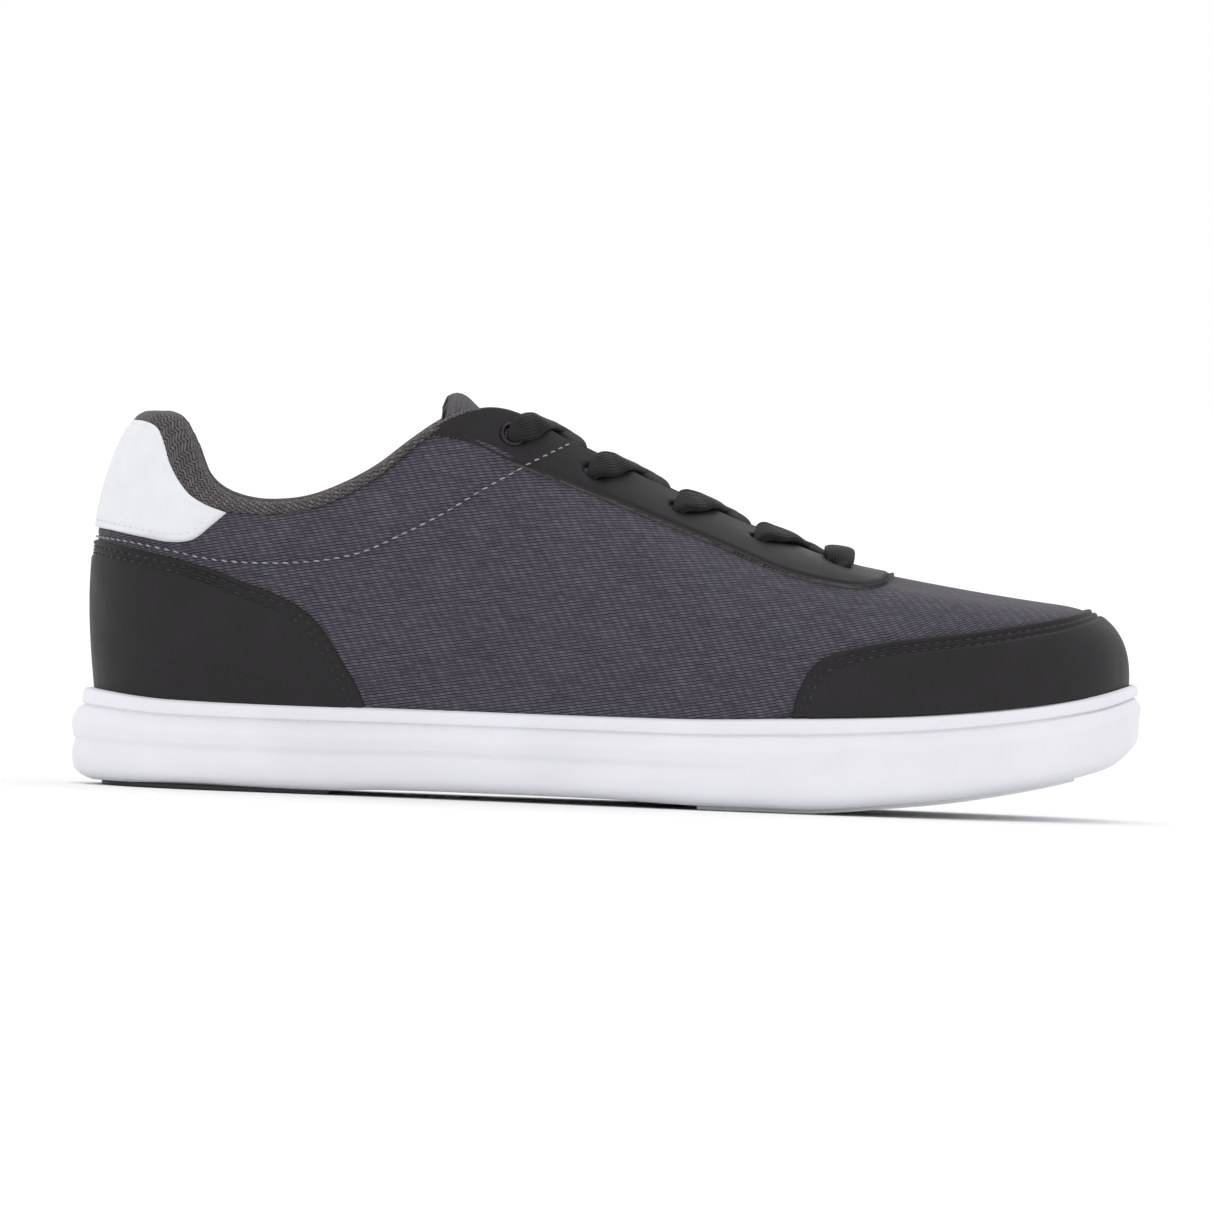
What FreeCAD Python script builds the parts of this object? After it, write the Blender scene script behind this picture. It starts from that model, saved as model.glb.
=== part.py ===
"""Bowling shoe for the right foot, low cut, cupsole, laced through five pairs of holes.

The frame stands the shoe on its pads: +X to the toe, +Y to the inner (medial) side, +Z up.
The origin is on the floor under the middle of the shoe. Lengths are in millimetres.
The upper is one curved wall. A place on it is a station, counted 0 to 24 around the sole from the
toe by the outer side, and a rise, 0 at the sole's rim and 1 at the top line. Each layer of the
upper lies at its own depth under that wall.
"""
import FreeCAD, Part, Sketcher
import math
import os

from FreeCAD import Placement, Rotation, Vector

os.makedirs("parts", exist_ok=True)
doc = FreeCAD.newDocument("bowling_shoe")

DIMENSIONS = {
    "sole_length": 300.0,
    "forefoot_width": 108.0,
    "cup_floor": 5.0,
    "pad_thickness": 1.1,
    "pad_glue": 0.08,
    "cup_clearance": 0.5,
    "heel_pad_radius": 33.0,
    "heel_pad_straight": 31.0,
    "heel_pad_centre": -108.0,
    "textile": 1.2,
    "overlay": 1.1,
    "layer_gap": 0.3,
    "lining": 0.9,
    "puff": 0.75,
    "counter": 1.25,
    "collar_padding": 5.0,
    "board": 2.0,
    "footbed_foam": 4.4,
    "footbed_cover": 1.0,
    "shank_width": 16.0,
    "shank_thickness": 1.2,
    "tongue_skin": 1.0,
    "tongue_foam": 4.5,
    "tongue_depth": 8.5,
    "lace_diameter": 2.0,
    "lace_hole": 5.6,
    "eyelet_outer": 7.8,
    "eyelet_bore": 5.3,
    "eyelet_flange": 0.6,
    "eyelet_depth": 3.6,
    "aglet_diameter": 3.0,
    "aglet_length": 18.0,
}


def make_sheet():
    """The spreadsheet that holds the driving dimensions."""
    sheet = doc.addObject("Spreadsheet::Sheet", "dimensions")
    for row, (alias, value) in enumerate(DIMENSIONS.items(), start=1):
        sheet.set("A%d" % row, alias)
        sheet.set("B%d" % row, str(value))
        sheet.setAlias("B%d" % row, alias)
    doc.recompute()
    return sheet


sheet = make_sheet()


def size(alias):
    """A driving dimension, read from the sheet."""
    return float(getattr(sheet, alias))


HALF = size("sole_length") / 2
BEAM = size("forefoot_width") / 2
GAP = size("layer_gap")
STATIONS = 24

# The sole's outer edge from above at each station: shares of the half length and the half width.
OUTLINE = (
    (1.0, 0.13), (0.973, -0.24), (0.885, -0.55), (0.733, -0.79), (0.533, -0.95), (0.313, -1.0),
    (0.087, -0.93), (-0.153, -0.81), (-0.4, -0.74), (-0.633, -0.71), (-0.827, -0.62), (-0.955, -0.37),
    (-1.0, 0.0), (-0.955, 0.37), (-0.827, 0.6), (-0.633, 0.68), (-0.4, 0.66), (-0.153, 0.68),
    (0.087, 0.82), (0.313, 0.97), (0.533, 1.0), (0.733, 0.92), (0.885, 0.74), (0.973, 0.47),
)
# The top line from above at the same stations: the throat's edge, then the collar.
TOPLINE = (
    (0.475, 0.02), (0.47, -0.06), (0.455, -0.12), (0.42, -0.17), (0.345, -0.21), (0.215, -0.255),
    (0.05, -0.32), (-0.16, -0.41), (-0.38, -0.55), (-0.593, -0.6), (-0.747, -0.5), (-0.843, -0.26),
    (-0.873, 0.0), (-0.843, 0.26), (-0.747, 0.5), (-0.593, 0.58), (-0.38, 0.54), (-0.16, 0.41),
    (0.05, 0.33), (0.215, 0.275), (0.345, 0.235), (0.42, 0.2), (0.455, 0.15), (0.47, 0.09),
)
# The wall's section at stations 0 to 12, the same on both sides: how far in the shoulder ends, how
# square it is, the share of the height that slopes evenly, the bulge in millimetres, and how far in
# from the sole's outline the wall starts.
SECTION = (
    (0.28, 2.6, 0.3, 0.2, 3.4), (0.3, 2.6, 0.3, 0.3, 3.5), (0.34, 2.6, 0.29, 0.5, 3.8),
    (0.46, 2.5, 0.26, 0.9, 4.2), (0.68, 2.4, 0.23, 1.3, 4.6), (0.88, 2.3, 0.21, 1.6, 4.7),
    (0.97, 2.1, 0.2, 2.0, 4.7), (1.0, 2.0, 0.2, 2.2, 4.7), (1.0, 2.0, 0.16, 2.6, 4.7),
    (1.0, 2.1, 0.1, 3.0, 4.9), (1.0, 2.2, 0.05, 3.2, 5.4), (1.0, 2.3, 0.0, 3.2, 6.4),
    (1.0, 2.3, 0.0, 3.2, 7.0),
)

# Heights along the shoe, as seen from the side: x and z.
TOP_HEIGHT = (
    (-131, 104.3), (-124.5, 103.3), (-120, 97), (-116, 88.5), (-111, 83.6), (-104, 80.9), (-96, 80.2),
    (-86, 81.6), (-76, 85.6), (-66, 91.6), (-57, 99), (-47, 106), (-37, 109.4), (-28, 108.2),
    (-11, 100.2), (10, 90.8), (38, 79.2), (59, 71.4), (69, 68.6), (74, 68),
)
RIM_HEIGHT = (
    (-150, 26.8), (-125, 24.8), (-60, 24.7), (20, 25.1), (52, 26.4), (88, 28.4), (118, 31.6),
    (138, 35.2), (150, 38.6),
)
SOLE_HEIGHT = (
    (-150, 1.1), (-110, 1.1), (-76, 1.1), (-60, 1.8), (0, 1.8), (24, 1.1), (45, 1.1), (60, 1.2),
    (79, 3.0), (99, 5.4), (118, 8.9), (132, 12.2), (142, 15.6), (150, 20.5),
)
BED_HEIGHT = (
    (-150, 12.2), (-100, 12.0), (-60, 11.6), (0, 10.2), (50, 9.8), (80, 11.4), (100, 14.0),
    (118, 17.4), (138, 23.0), (150, 27.0),
)

# The panels' edges as seen from the side.
TOE_CAP_EDGE = (
    (52.4, 20), (52.8, 28), (54.8, 35.5), (58.5, 41.8), (64, 45.2), (75.7, 48.4), (89.3, 50.6),
    (103, 52.5), (117, 54.9), (130, 57.4), (135.5, 59.2), (136.8, 62),
)
HEEL_OVERLAY_EDGE = (
    (-160, 69.6), (-145.3, 68.5), (-131.2, 66.3), (-115, 62.8), (-101.8, 58.4), (-90, 54), (-82.1, 48.6),
    (-75, 38.8), (-68.5, 28), (-65.5, 18),
)
HEEL_TAB_LOWER = (
    (-160, 72.4), (-144.2, 72), (-132, 70.2), (-124, 69.1), (-117.6, 70), (-112.5, 74), (-108.2, 77.8),
)
HEEL_TAB_UPPER = (
    (-108.2, 77.8), (-114.5, 80), (-119.5, 83.2), (-124.1, 89.8), (-126.3, 96.4), (-128.5, 100.8),
    (-133, 102.2), (-160, 101),
)
EYESTAY_EDGE = (
    (-58, 99), (-50, 101.6), (-40.3, 99.6), (-27, 94), (-12.7, 89.2), (11.3, 80.4), (30.7, 73.4),
    (48.3, 66.8), (63, 63.8), (73, 63.4), (79, 65.4), (81.6, 69.4),
)

# Where the lace holes lie along the shoe, from the top pair to the bottom one, and their rise.
HOLE_PLACES = (-29.0, -6.0, 18.4, 41.4, 64.6)
HOLE_RISE = 0.87


def smooth(points, at):
    """A smooth height through a few points, at one place along the shoe."""
    if at <= points[0][0]:
        return points[0][1]
    if at >= points[-1][0]:
        return points[-1][1]
    last = len(points) - 1
    i = max(k for k in range(last) if points[k][0] <= at)

    def slope(k):
        low, high = max(k - 1, 0), min(k + 1, last)
        return (points[high][1] - points[low][1]) / (points[high][0] - points[low][0])

    span = points[i + 1][0] - points[i][0]
    f = (at - points[i][0]) / span
    return (
        points[i][1] * (1 + 2 * f) * (1 - f) ** 2
        + points[i + 1][1] * f * f * (3 - 2 * f)
        + span * (slope(i) * f * (1 - f) ** 2 - slope(i + 1) * f * f * (1 - f))
    )


def control(values):
    """Control values of the closed uniform cubic spline that passes through the given ones."""
    count = len(values)
    weights = list(values)
    for _ in range(30):
        blend = [(weights[i - 1] + 4 * weights[i] + weights[(i + 1) % count]) / 6 for i in range(count)]
        weights = [w + v - b for w, v, b in zip(weights, values, blend)]
    return weights


def around(weights, station):
    """The closed cubic spline's value at a station."""
    count = len(weights)
    base = math.floor(station)
    f = station - base
    shares = ((1 - f) ** 3, 3 * f ** 3 - 6 * f * f + 4, 3 * f * (1 + f - f * f) + 1, f ** 3)
    return sum(share * weights[(base + k - 1) % count] for k, share in enumerate(shares)) / 6


def mirrored(column):
    """A section value at all the stations, the same on both sides."""
    one_side = [row[column] for row in SECTION]
    return control(one_side + one_side[-2:0:-1])


OUT_X = control([x * HALF for x, y in OUTLINE])
OUT_Y = control([y * BEAM for x, y in OUTLINE])
TOP_X = control([x * HALF for x, y in TOPLINE])
TOP_Y = control([y * BEAM for x, y in TOPLINE])
SHOULDER, SQUARENESS, SLOPE, BULGE, INSET = (mirrored(column) for column in range(5))


def edge_point(station, inset=0.0):
    """A point of the sole's outline from above, moved in by inset, and its outward direction."""
    step = 0.01
    here = Vector(around(OUT_X, station), around(OUT_Y, station), 0)
    ahead = Vector(around(OUT_X, station + step), around(OUT_Y, station + step), 0)
    along = (ahead - here).normalize()
    outward = Vector(along.y, -along.x, 0) * -1
    return here - outward * inset, outward


def wall(station, rise):
    """A point of the upper's outer face. Below 0 the rise goes down inside the cupsole."""
    foot, outward = edge_point(station, around(INSET, station))
    rim = smooth(RIM_HEIGHT, foot.x)
    if rise < 0:
        floor = smooth(BED_HEIGHT, foot.x) + 0.3
        return Vector(foot.x, foot.y, rim + (rim - floor) * rise)
    top_x, top_y = around(TOP_X, station), around(TOP_Y, station)
    top = smooth(TOP_HEIGHT, top_x)
    shoulder = min(around(SHOULDER, station), 1.0)
    power = 2 / around(SQUARENESS, station)
    slope = around(SLOPE, station)
    turn = 0.43 + 0.57 * shoulder
    if rise <= turn:
        angle = math.pi / 2 * rise / turn
        inward = shoulder * (1 - max(math.cos(angle), 0) ** power)
        climb = math.sin(angle) ** power
    else:
        inward = shoulder + (1 - shoulder) * (rise - turn) / (1 - turn)
        climb = 1.0
    height = slope * inward ** 1.4 + (1 - slope) * climb
    swell = around(BULGE, station) * math.sin(math.pi * min(height, 1))
    plan = foot * (1 - inward) + Vector(top_x, top_y, 0) * inward + outward * swell
    return Vector(plan.x, plan.y, rim + (top - rim) * height)


def wall_normal(station, rise):
    """The outward direction of the upper's outer face."""
    if rise <= 0:
        return edge_point(station)[1]
    step = 0.004
    low = max(rise - step, 0)
    up = wall(station, low + step) - wall(station, low)
    side = wall(station + step, low + step / 2) - wall(station - step, low + step / 2)
    return side.cross(up).normalize() * -1


def layer_point(station, rise, depth):
    """A point at a depth under the upper's outer face."""
    return wall(station, rise) - wall_normal(station, rise) * depth


def face_of(grid):
    """A smooth face through a grid of points."""
    surface = Part.BSplineSurface()
    surface.interpolate(grid)
    return surface


def rim_faces(outer, inner):
    """The narrow faces that join the borders of two faces."""
    first_u, last_u, first_v, last_v = outer.bounds()
    strips = []
    for cut in ("uIso", "vIso"):
        for place in ((first_u, last_u) if cut == "uIso" else (first_v, last_v)):
            edges = [getattr(face, cut)(place).toShape() for face in (outer, inner)]
            strips.append(Part.makeRuledSurface(*edges))
    return strips


def solid_between(outer_grid, inner_grid, closed=False):
    """The solid between two faces that run side by side, open or closed around the shoe."""
    outer, inner = face_of(outer_grid), face_of(inner_grid)
    strips = rim_faces(outer, inner)
    if closed:
        strips = strips[2:]
    shell = Part.makeCompound([outer.toShape(), inner.toShape()] + strips)
    shell.sewShape(1e-3)
    solid = Part.makeSolid(shell.Shells[0])
    if solid.Volume < 0:
        solid.reverse()
    return solid


def steps(low, high, count):
    """Evenly spaced values, both ends included."""
    return [low + (high - low) * i / (count - 1) for i in range(count)]


def layer(stations, rises, outer_depth, inner_depth, closed=False):
    """A layer of the upper between two depths, each a number or a function of rise and station."""
    def grid(depth):
        at = depth if callable(depth) else lambda rise, station: depth
        return [[layer_point(station, rise, at(rise, station)) for rise in rises] for station in stations]

    return solid_between(grid(outer_depth), grid(inner_depth), closed)


def side_block(curve, corners, low_y=-90.0, high_y=90.0):
    """A block whose side-view outline is a smooth curve, closed by straight lines through corners."""
    spline = Part.BSplineCurve()
    spline.interpolate([Vector(x, low_y, z) for x, z in curve])
    ends = [spline.EndPoint] + [Vector(x, low_y, z) for x, z in corners] + [spline.StartPoint]
    lines = [Part.LineSegment(first, last).toShape() for first, last in zip(ends, ends[1:])]
    face = Part.Face(Part.Wire([spline.toShape()] + lines))
    return face.extrude(Vector(0, high_y - low_y, 0))


def height_band(low, high, first=-160.0, last=160.0):
    """The block between two heights that change along the shoe."""
    places = steps(first, last, 65)
    far = 300.0
    over = side_block([(x, low(x)) for x in places], [(last, far), (first, far)])
    under = side_block([(x, high(x)) for x in places], [(last, -far), (first, -far)])
    return over.common(under)


def closed_wire(points, arcs=12):
    """A smooth closed line through points, in several arcs."""
    curve = Part.BSplineCurve()
    curve.interpolate(Points=points, PeriodicFlag=True)
    first, last = curve.FirstParameter, curve.LastParameter
    ends = steps(first, last, arcs + 1)
    return Part.Wire([curve.toShape(start, end) for start, end in zip(ends, ends[1:])])


def outline_wire(inset, height, from_wall=False, count=96):
    """The sole's outline from above, moved in by inset, or by that more than the wall, at a height."""
    points = []
    for station in steps(0, STATIONS, count + 1)[:-1]:
        start = around(INSET, station) if from_wall else 0.0
        points.append(edge_point(station, start + inset)[0] + Vector(0, 0, height))
    return closed_wire(points)


def plate(inset, low, high):
    """A plate with the wall's outline moved in by inset, between two heights along the shoe."""
    base, tall = -20.0, 80.0
    column = Part.Face(outline_wire(inset, base, True)).extrude(Vector(0, 0, tall))
    return column.common(height_band(low, high))


def box_between(low_x, high_x, half_width=90.0):
    """A tall block between two places along the shoe."""
    return Part.makeBox(high_x - low_x, 2 * half_width, 200, Vector(low_x, -half_width, -50))


def add(label, shape):
    """A sub-part whose shape is made by Part's own functions."""
    piece = doc.addObject("Part::Feature", label)
    piece.Label = label
    piece.Shape = shape
    piece.Placement = Placement()
    return piece


# ---- sole unit ----------------------------------------------------------------------------------

# Share of the height from the sole's underside to its rim, and how far in the side wall lies there.
SOLE_SECTION = (
    (-0.01, 6.0), (0.04, 3.4), (0.11, 1.2), (0.22, 0.4), (0.34, 0.5), (0.43, 1.1), (0.53, 0.5),
    (0.64, 0.0), (0.72, 0.7), (0.79, 1.9), (0.815, 3.3), (0.84, 2.7), (0.95, 2.8), (1.01, 4.0),
)


def sole_bottom(x):
    """Height of the cupsole's underside."""
    return smooth(SOLE_HEIGHT, x)


def bed(x):
    """Height of the bed that the insole board lies on."""
    return smooth(BED_HEIGHT, x)


def rim(x):
    """Height of the cupsole's rim."""
    return smooth(RIM_HEIGHT, x)


def sole_ring(share, inset):
    """One level line of the cupsole's side wall."""
    points = []
    for station in steps(0, STATIONS, 97)[:-1]:
        point = edge_point(station, inset)[0]
        low = sole_bottom(point.x)
        points.append(Vector(point.x, point.y, low + (rim(point.x) - low) * share))
    return closed_wire(points)


def make_cupsole():
    """The moulded cup: side wall with a rim band and a groove, and a floor."""
    below, above = -15.0, 70.0
    rings = [outline_wire(SOLE_SECTION[0][1], below)]
    rings += [sole_ring(share, inset) for share, inset in SOLE_SECTION]
    rings.append(outline_wire(SOLE_SECTION[-1][1], above))
    block = Part.makeLoft(rings, True, True)
    body = block.common(height_band(sole_bottom, rim))
    cavity = plate(-size("cup_clearance"), lambda x: sole_bottom(x) + size("cup_floor"), lambda x: 59.0)
    return body.cut(cavity)


def make_heel_pad():
    """The rubber heel pad: a D-shaped plate, sketched and padded."""
    body = doc.addObject("PartDesign::Body", "heel_pad")
    body.Label = "heel_pad"
    sketch = body.newObject("Sketcher::SketchObject", "heel_pad_outline")
    plane = [f for f in body.Origin.OriginFeatures if f.Role == "XY_Plane"][0]
    sketch.AttachmentSupport = (plane, [""])
    sketch.MapMode = "FlatFace"
    radius, straight = size("heel_pad_radius"), size("heel_pad_straight")
    half_turn = math.pi / 2
    arc = Part.ArcOfCircle(Part.Circle(Vector(0, 0, 0), Vector(0, 0, 1), radius), half_turn, 3 * half_turn)
    sketch.addGeometry(arc)
    sketch.addGeometry(Part.LineSegment(Vector(0, -radius, 0), Vector(straight, -radius, 0)))
    sketch.addGeometry(Part.LineSegment(Vector(straight, -radius, 0), Vector(straight, radius, 0)))
    sketch.addGeometry(Part.LineSegment(Vector(straight, radius, 0), Vector(0, radius, 0)))
    for first, end, second, start in ((0, 2, 1, 1), (1, 2, 2, 1), (2, 2, 3, 1), (3, 2, 0, 1)):
        sketch.addConstraint(Sketcher.Constraint("Coincident", first, end, second, start))
    sketch.addConstraint(Sketcher.Constraint("Coincident", 0, 3, -1, 1))
    sketch.addConstraint(Sketcher.Constraint("Horizontal", 1))
    sketch.addConstraint(Sketcher.Constraint("Horizontal", 3))
    sketch.addConstraint(Sketcher.Constraint("Vertical", 2))
    radius_rule = sketch.addConstraint(Sketcher.Constraint("Radius", 0, radius))
    length_rule = sketch.addConstraint(Sketcher.Constraint("DistanceX", 1, 1, 1, 2, straight))
    sketch.setExpression("Constraints[%d]" % radius_rule, "dimensions.heel_pad_radius")
    sketch.setExpression("Constraints[%d]" % length_rule, "dimensions.heel_pad_straight")
    pad = body.newObject("PartDesign::Pad", "heel_pad_plate")
    pad.Profile = sketch
    pad.setExpression("Length", "dimensions.pad_thickness - dimensions.pad_glue")
    body.Placement = Placement(Vector(size("heel_pad_centre"), 0, 0), Rotation())
    return body


def make_slide_pad():
    """The sliding pad under the forefoot, which follows the toe's spring."""
    thickness = size("pad_thickness")
    pad = plate(4.4, lambda x: sole_bottom(x) - thickness, lambda x: sole_bottom(x) - size("pad_glue"))
    return pad.common(box_between(27, 133))


def shank_blank(margin):
    """The shank's strip under the board, or the recess for it with a margin."""
    length, ends = 92.0 + 2 * margin, (size("shank_width") + 2 * margin) / 2
    middle = Vector(-26, 0, -20)
    straight = Part.makeBox(length - 2 * ends, 2 * ends, 80, middle - Vector(length / 2 - ends, ends, 0))
    for side in (-1, 1):
        foot = middle + Vector(side * (length / 2 - ends), 0, 0)
        straight = straight.fuse(Part.makeCylinder(ends, 80, foot))
    deep = size("shank_thickness") + 0.1 + margin / 2
    top = -0.1 + margin
    return straight.common(height_band(lambda x: bed(x) - deep, lambda x: bed(x) + top))


def make_midsole():
    """The foam insert that fills the cup under the board, with a recess for the shank."""
    floor = size("cup_floor") + 0.1
    insert = plate(0.0, lambda x: sole_bottom(x) + floor, bed)
    return insert.cut(shank_blank(0.4))


def make_board():
    """The insole board, inside the upper's lasted edge."""
    return plate(4.6, lambda x: bed(x) + 0.1, lambda x: bed(x) + size("board"))


def make_footbed(part):
    """The removable footbed: its foam, or the cloth cover on it."""
    start = size("board") + 0.1
    if part == "foam":
        return plate(6.2, lambda x: bed(x) + start, lambda x: bed(x) + start + size("footbed_foam"))
    start += size("footbed_foam") + 0.02
    return plate(6.2, lambda x: bed(x) + start, lambda x: bed(x) + start + size("footbed_cover"))


# ---- upper --------------------------------------------------------------------------------------

ALL_RISES = [-1.0, -0.75, -0.5, -0.25, 0.0, 0.08, 0.18, 0.3, 0.42, 0.54, 0.66, 0.78, 0.9, 1.0]
OVER_RIM = 0.012
PITCH = 0.25
LINING_DEPTH = size("textile") + GAP
FRONT = 7.25
PADDED_FROM = (7.4, 9.2)


def padding(rise, station):
    """How deep the collar's padding reaches under the outer face."""
    swell = math.sin(math.pi * min(max((rise - 0.42) / 0.62, 0), 1))
    back = min(station, STATIONS - station)
    full = min(max((back - PADDED_FROM[0]) / (PADDED_FROM[1] - PADDED_FROM[0]), 0), 1)
    swell *= full * full * (3 - 2 * full)
    return LINING_DEPTH + size("counter") + GAP + size("collar_padding") * swell


def stations_between(low, high):
    """The upper's evenly spaced stations between two of them."""
    return steps(low, high, round((high - low) / PITCH) + 1)


def upper_rises(low, high):
    """The upper's rises between two of them."""
    return [rise for rise in ALL_RISES if low <= rise <= high]


def hole_station(index, side):
    """The station of a lace hole, found by halving the span that holds it."""
    low, high = (1.5, 8.5) if side < 0 else (22.5, 15.5)
    for _ in range(30):
        middle = (low + high) / 2
        if wall(middle, HOLE_RISE).x > HOLE_PLACES[index]:
            low = middle
        else:
            high = middle
    return (low + high) / 2


def hole_axis(index, side):
    """A lace hole's centre on the outer face and the outward direction there."""
    at = hole_station(index, side)
    return wall(at, HOLE_RISE), wall_normal(at, HOLE_RISE)


def lace_hole_cutters():
    """Cylinders through the upper at the ten lace holes."""
    radius, reach = size("lace_hole") / 2, 8.0
    cutters = []
    for index in range(len(HOLE_PLACES)):
        for side in (-1, 1):
            centre, outward = hole_axis(index, side)
            cutters.append(Part.makeCylinder(radius, 2 * reach, centre - outward * reach, outward))
    return cutters


def drilled(shape, cutters):
    """The shape with the lace holes cut."""
    return shape.cut(cutters)


def make_textile(cutters):
    """The one-piece textile upper."""
    shell = layer(stations_between(0, STATIONS), ALL_RISES, 0, size("textile"), closed=True)
    return drilled(shell, cutters)


def panel(stations, rises, outline):
    """An overlay sewn on the textile, cut to its side-view outline."""
    blank = layer(stations, rises, -GAP - size("overlay"), -GAP)
    return blank.common(outline)


def make_toe_cap():
    """The toe cap that wraps the front of the upper above the sole."""
    outline = side_block(TOE_CAP_EDGE, [(137, 90), (170, 90), (170, 20)])
    return panel(stations_between(-5.5, 5.5), [OVER_RIM] + upper_rises(0.08, 0.66), outline)


def make_heel_overlay():
    """The panel around the heel above the sole."""
    outline = side_block(HEEL_OVERLAY_EDGE, [(-170, 18), (-170, 69.6)])
    return panel(stations_between(7, 17), [OVER_RIM] + upper_rises(0.08, 1.0), outline)


def make_heel_tab():
    """The tab at the back of the collar."""
    above = side_block(HEEL_TAB_LOWER, [(-108.2, 130), (-160, 130)])
    outline = above.common(side_block(HEEL_TAB_UPPER, [(-160, 60), (-108.2, 60)]))
    return panel(stations_between(9, 15), upper_rises(0.3, 0.9) + [0.995], outline)


def make_eyestay(cutters):
    """The U-shaped lace stay around the throat."""
    outline = side_block(EYESTAY_EDGE, [(81.6, 130), (-58, 130)])
    rises = upper_rises(0.42, 0.9) + [0.995]
    return drilled(panel(stations_between(-8.5, 8.5), rises, outline), cutters)


def make_vamp_lining(cutters):
    """The lining of the front of the upper."""
    depth = LINING_DEPTH + size("puff") + 1.5 * GAP
    shell = layer(stations_between(-FRONT, FRONT), upper_rises(-0.5, 1), depth, depth + size("lining"))
    return drilled(shell, cutters)


def make_toe_puff():
    """The stiffener that holds the toe's shape."""
    inner = LINING_DEPTH + size("puff") + GAP / 2
    return layer(stations_between(-2.75, 2.75), upper_rises(0.08, 0.54), LINING_DEPTH + 2.3 * GAP, inner)


def make_heel_counter():
    """The stiffener around the heel."""
    rises = upper_rises(0, 0.42)
    return layer(stations_between(9, 15), rises, LINING_DEPTH + GAP, LINING_DEPTH + size("counter"))


def make_collar_foam():
    """The padding of the collar."""
    stations = stations_between(FRONT + 2 * PITCH, STATIONS - FRONT - 2 * PITCH)
    rises = upper_rises(0.54, 1)
    return layer(stations, rises, LINING_DEPTH, lambda rise, station: padding(rise, station) - GAP)


def make_collar_lining():
    """The knitted lining of the heel and the collar."""
    stations = stations_between(FRONT + PITCH, STATIONS - FRONT - PITCH)
    inside = lambda rise, station: padding(rise, station) + size("lining")
    return layer(stations, upper_rises(-0.5, 1), padding, inside)


# ---- tongue -------------------------------------------------------------------------------------

TONGUE_DEPTH = size("tongue_depth")
TONGUE_STATIONS = steps(2.6, 7.8, 40)
TONGUE_FREE = (7.35, 7.8)
TONGUE_LIFT = 5.0


def tongue_row(station, depth):
    """The tongue's section from the outer edge to the inner one, under the lace."""
    rises = (0.74, 0.84, 0.93, 1.0)
    outer = [layer_point(station, rise, depth) for rise in rises]
    inner = [layer_point(STATIONS - station, rise, depth) for rise in reversed(rises)]
    crown = (outer[-1] + inner[0]) * 0.5 + Vector(0, 0, 1.0)
    free = min(max((station - TONGUE_FREE[0]) / (TONGUE_FREE[1] - TONGUE_FREE[0]), 0), 1)
    row = outer + [crown] + inner
    middle = (len(row) - 1) / 2
    for place, point in enumerate(row):
        point.z += TONGUE_LIFT * free * free * (1 - abs(place / middle - 1) ** 2)
    return row


def tongue_layer(depth, thickness):
    """One layer of the tongue."""
    outer = [tongue_row(station, depth) for station in TONGUE_STATIONS]
    inner = [tongue_row(station, depth + thickness) for station in TONGUE_STATIONS]
    return solid_between(outer, inner)


# ---- lace ---------------------------------------------------------------------------------------

LACE_OVER = 4.4
LACE_UNDER = 5.6
TURN_IN = 3.2
TURN_UP = (5.6, 2.0)
CROSSING = 1.3
LACE_CREST = 3.8


def lace_half(first_side):
    """The route of half the lace, from the bottom bar to its tucked end, on alternating sides."""
    points = []
    side = first_side
    for index in range(len(HOLE_PLACES) - 1, -1, -1):
        centre, outward = hole_axis(index, side)
        station = hole_station(index, side)
        edge, lift = wall(station, 1.0), wall_normal(station, 1.0)
        if points:
            crest = edge + lift * LACE_CREST
            middle = (points[-1] + crest) * 0.5
            points += [middle + Vector(0, 0, CROSSING * first_side), crest]
        points += [centre + outward * LACE_OVER, centre - outward * LACE_UNDER]
        if index:
            across = (edge - wall(station, HOLE_RISE)).normalize()
            points.append(edge + across * TURN_IN - lift * LACE_UNDER)
            points.append(edge + across * TURN_UP[0] + lift * TURN_UP[1])
            side = -side
    for rise, depth in ((0.68, 5.5), (0.6, 5.9)):
        points.append(layer_point(station, rise, depth))
    return points


def rounded_path(points, ratio=0.45):
    """Straight runs joined by tangent arcs, and the arcs' radii."""
    edges, radii = [], []
    start = points[0]
    for before, corner, after in zip(points, points[1:], points[2:]):
        back, ahead = before - corner, after - corner
        shorter = min(back.Length, ahead.Length)
        leave = shorter * ratio
        first, last = corner + back.normalize() * leave, corner + ahead.normalize() * leave
        half_turn = (math.pi - back.getAngle(ahead)) / 2
        radii.append(leave / math.tan(half_turn))
        bisector = (back + ahead).normalize()
        reach = radii[-1] / math.cos(half_turn) - radii[-1]
        edges.append(Part.LineSegment(start, first).toShape())
        edges.append(Part.Arc(first, corner + bisector * reach, last).toShape())
        start = last
    edges.append(Part.LineSegment(start, points[-1]).toShape())
    return edges, radii


def tube(points, diameter):
    """A round cord along a route, and its smallest radius."""
    edges, radii = rounded_path(points)
    path = Part.Wire(edges)
    heading = (points[1] - points[0]).normalize()
    ring = Part.Wire(Part.makeCircle(diameter / 2, points[0], heading))
    return path.makePipeShell([ring], True, False), min(radii), path.Length


def make_lace():
    """The lace, whole: the bottom bar and both halves, each tucked in behind its top eyelet."""
    route = list(reversed(lace_half(-1))) + lace_half(1)
    cord, radius, length = tube(route, size("lace_diameter"))
    print("lace: length %.1f, smallest radius %.2f, volume over section times length %.3f" % (
        length, radius, cord.Volume / (length * math.pi * size("lace_diameter") ** 2 / 4)))
    return cord, route


def make_aglet(label, end, before):
    """The hard tip on a lace end."""
    tip = doc.addObject("Part::Cylinder", label)
    tip.Label = label
    tip.setExpression("Radius", "dimensions.aglet_diameter / 2")
    tip.setExpression("Height", "dimensions.aglet_length")
    tip.Placement = Placement(end, Rotation(Vector(0, 0, 1), (end - before)))
    return tip


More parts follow.
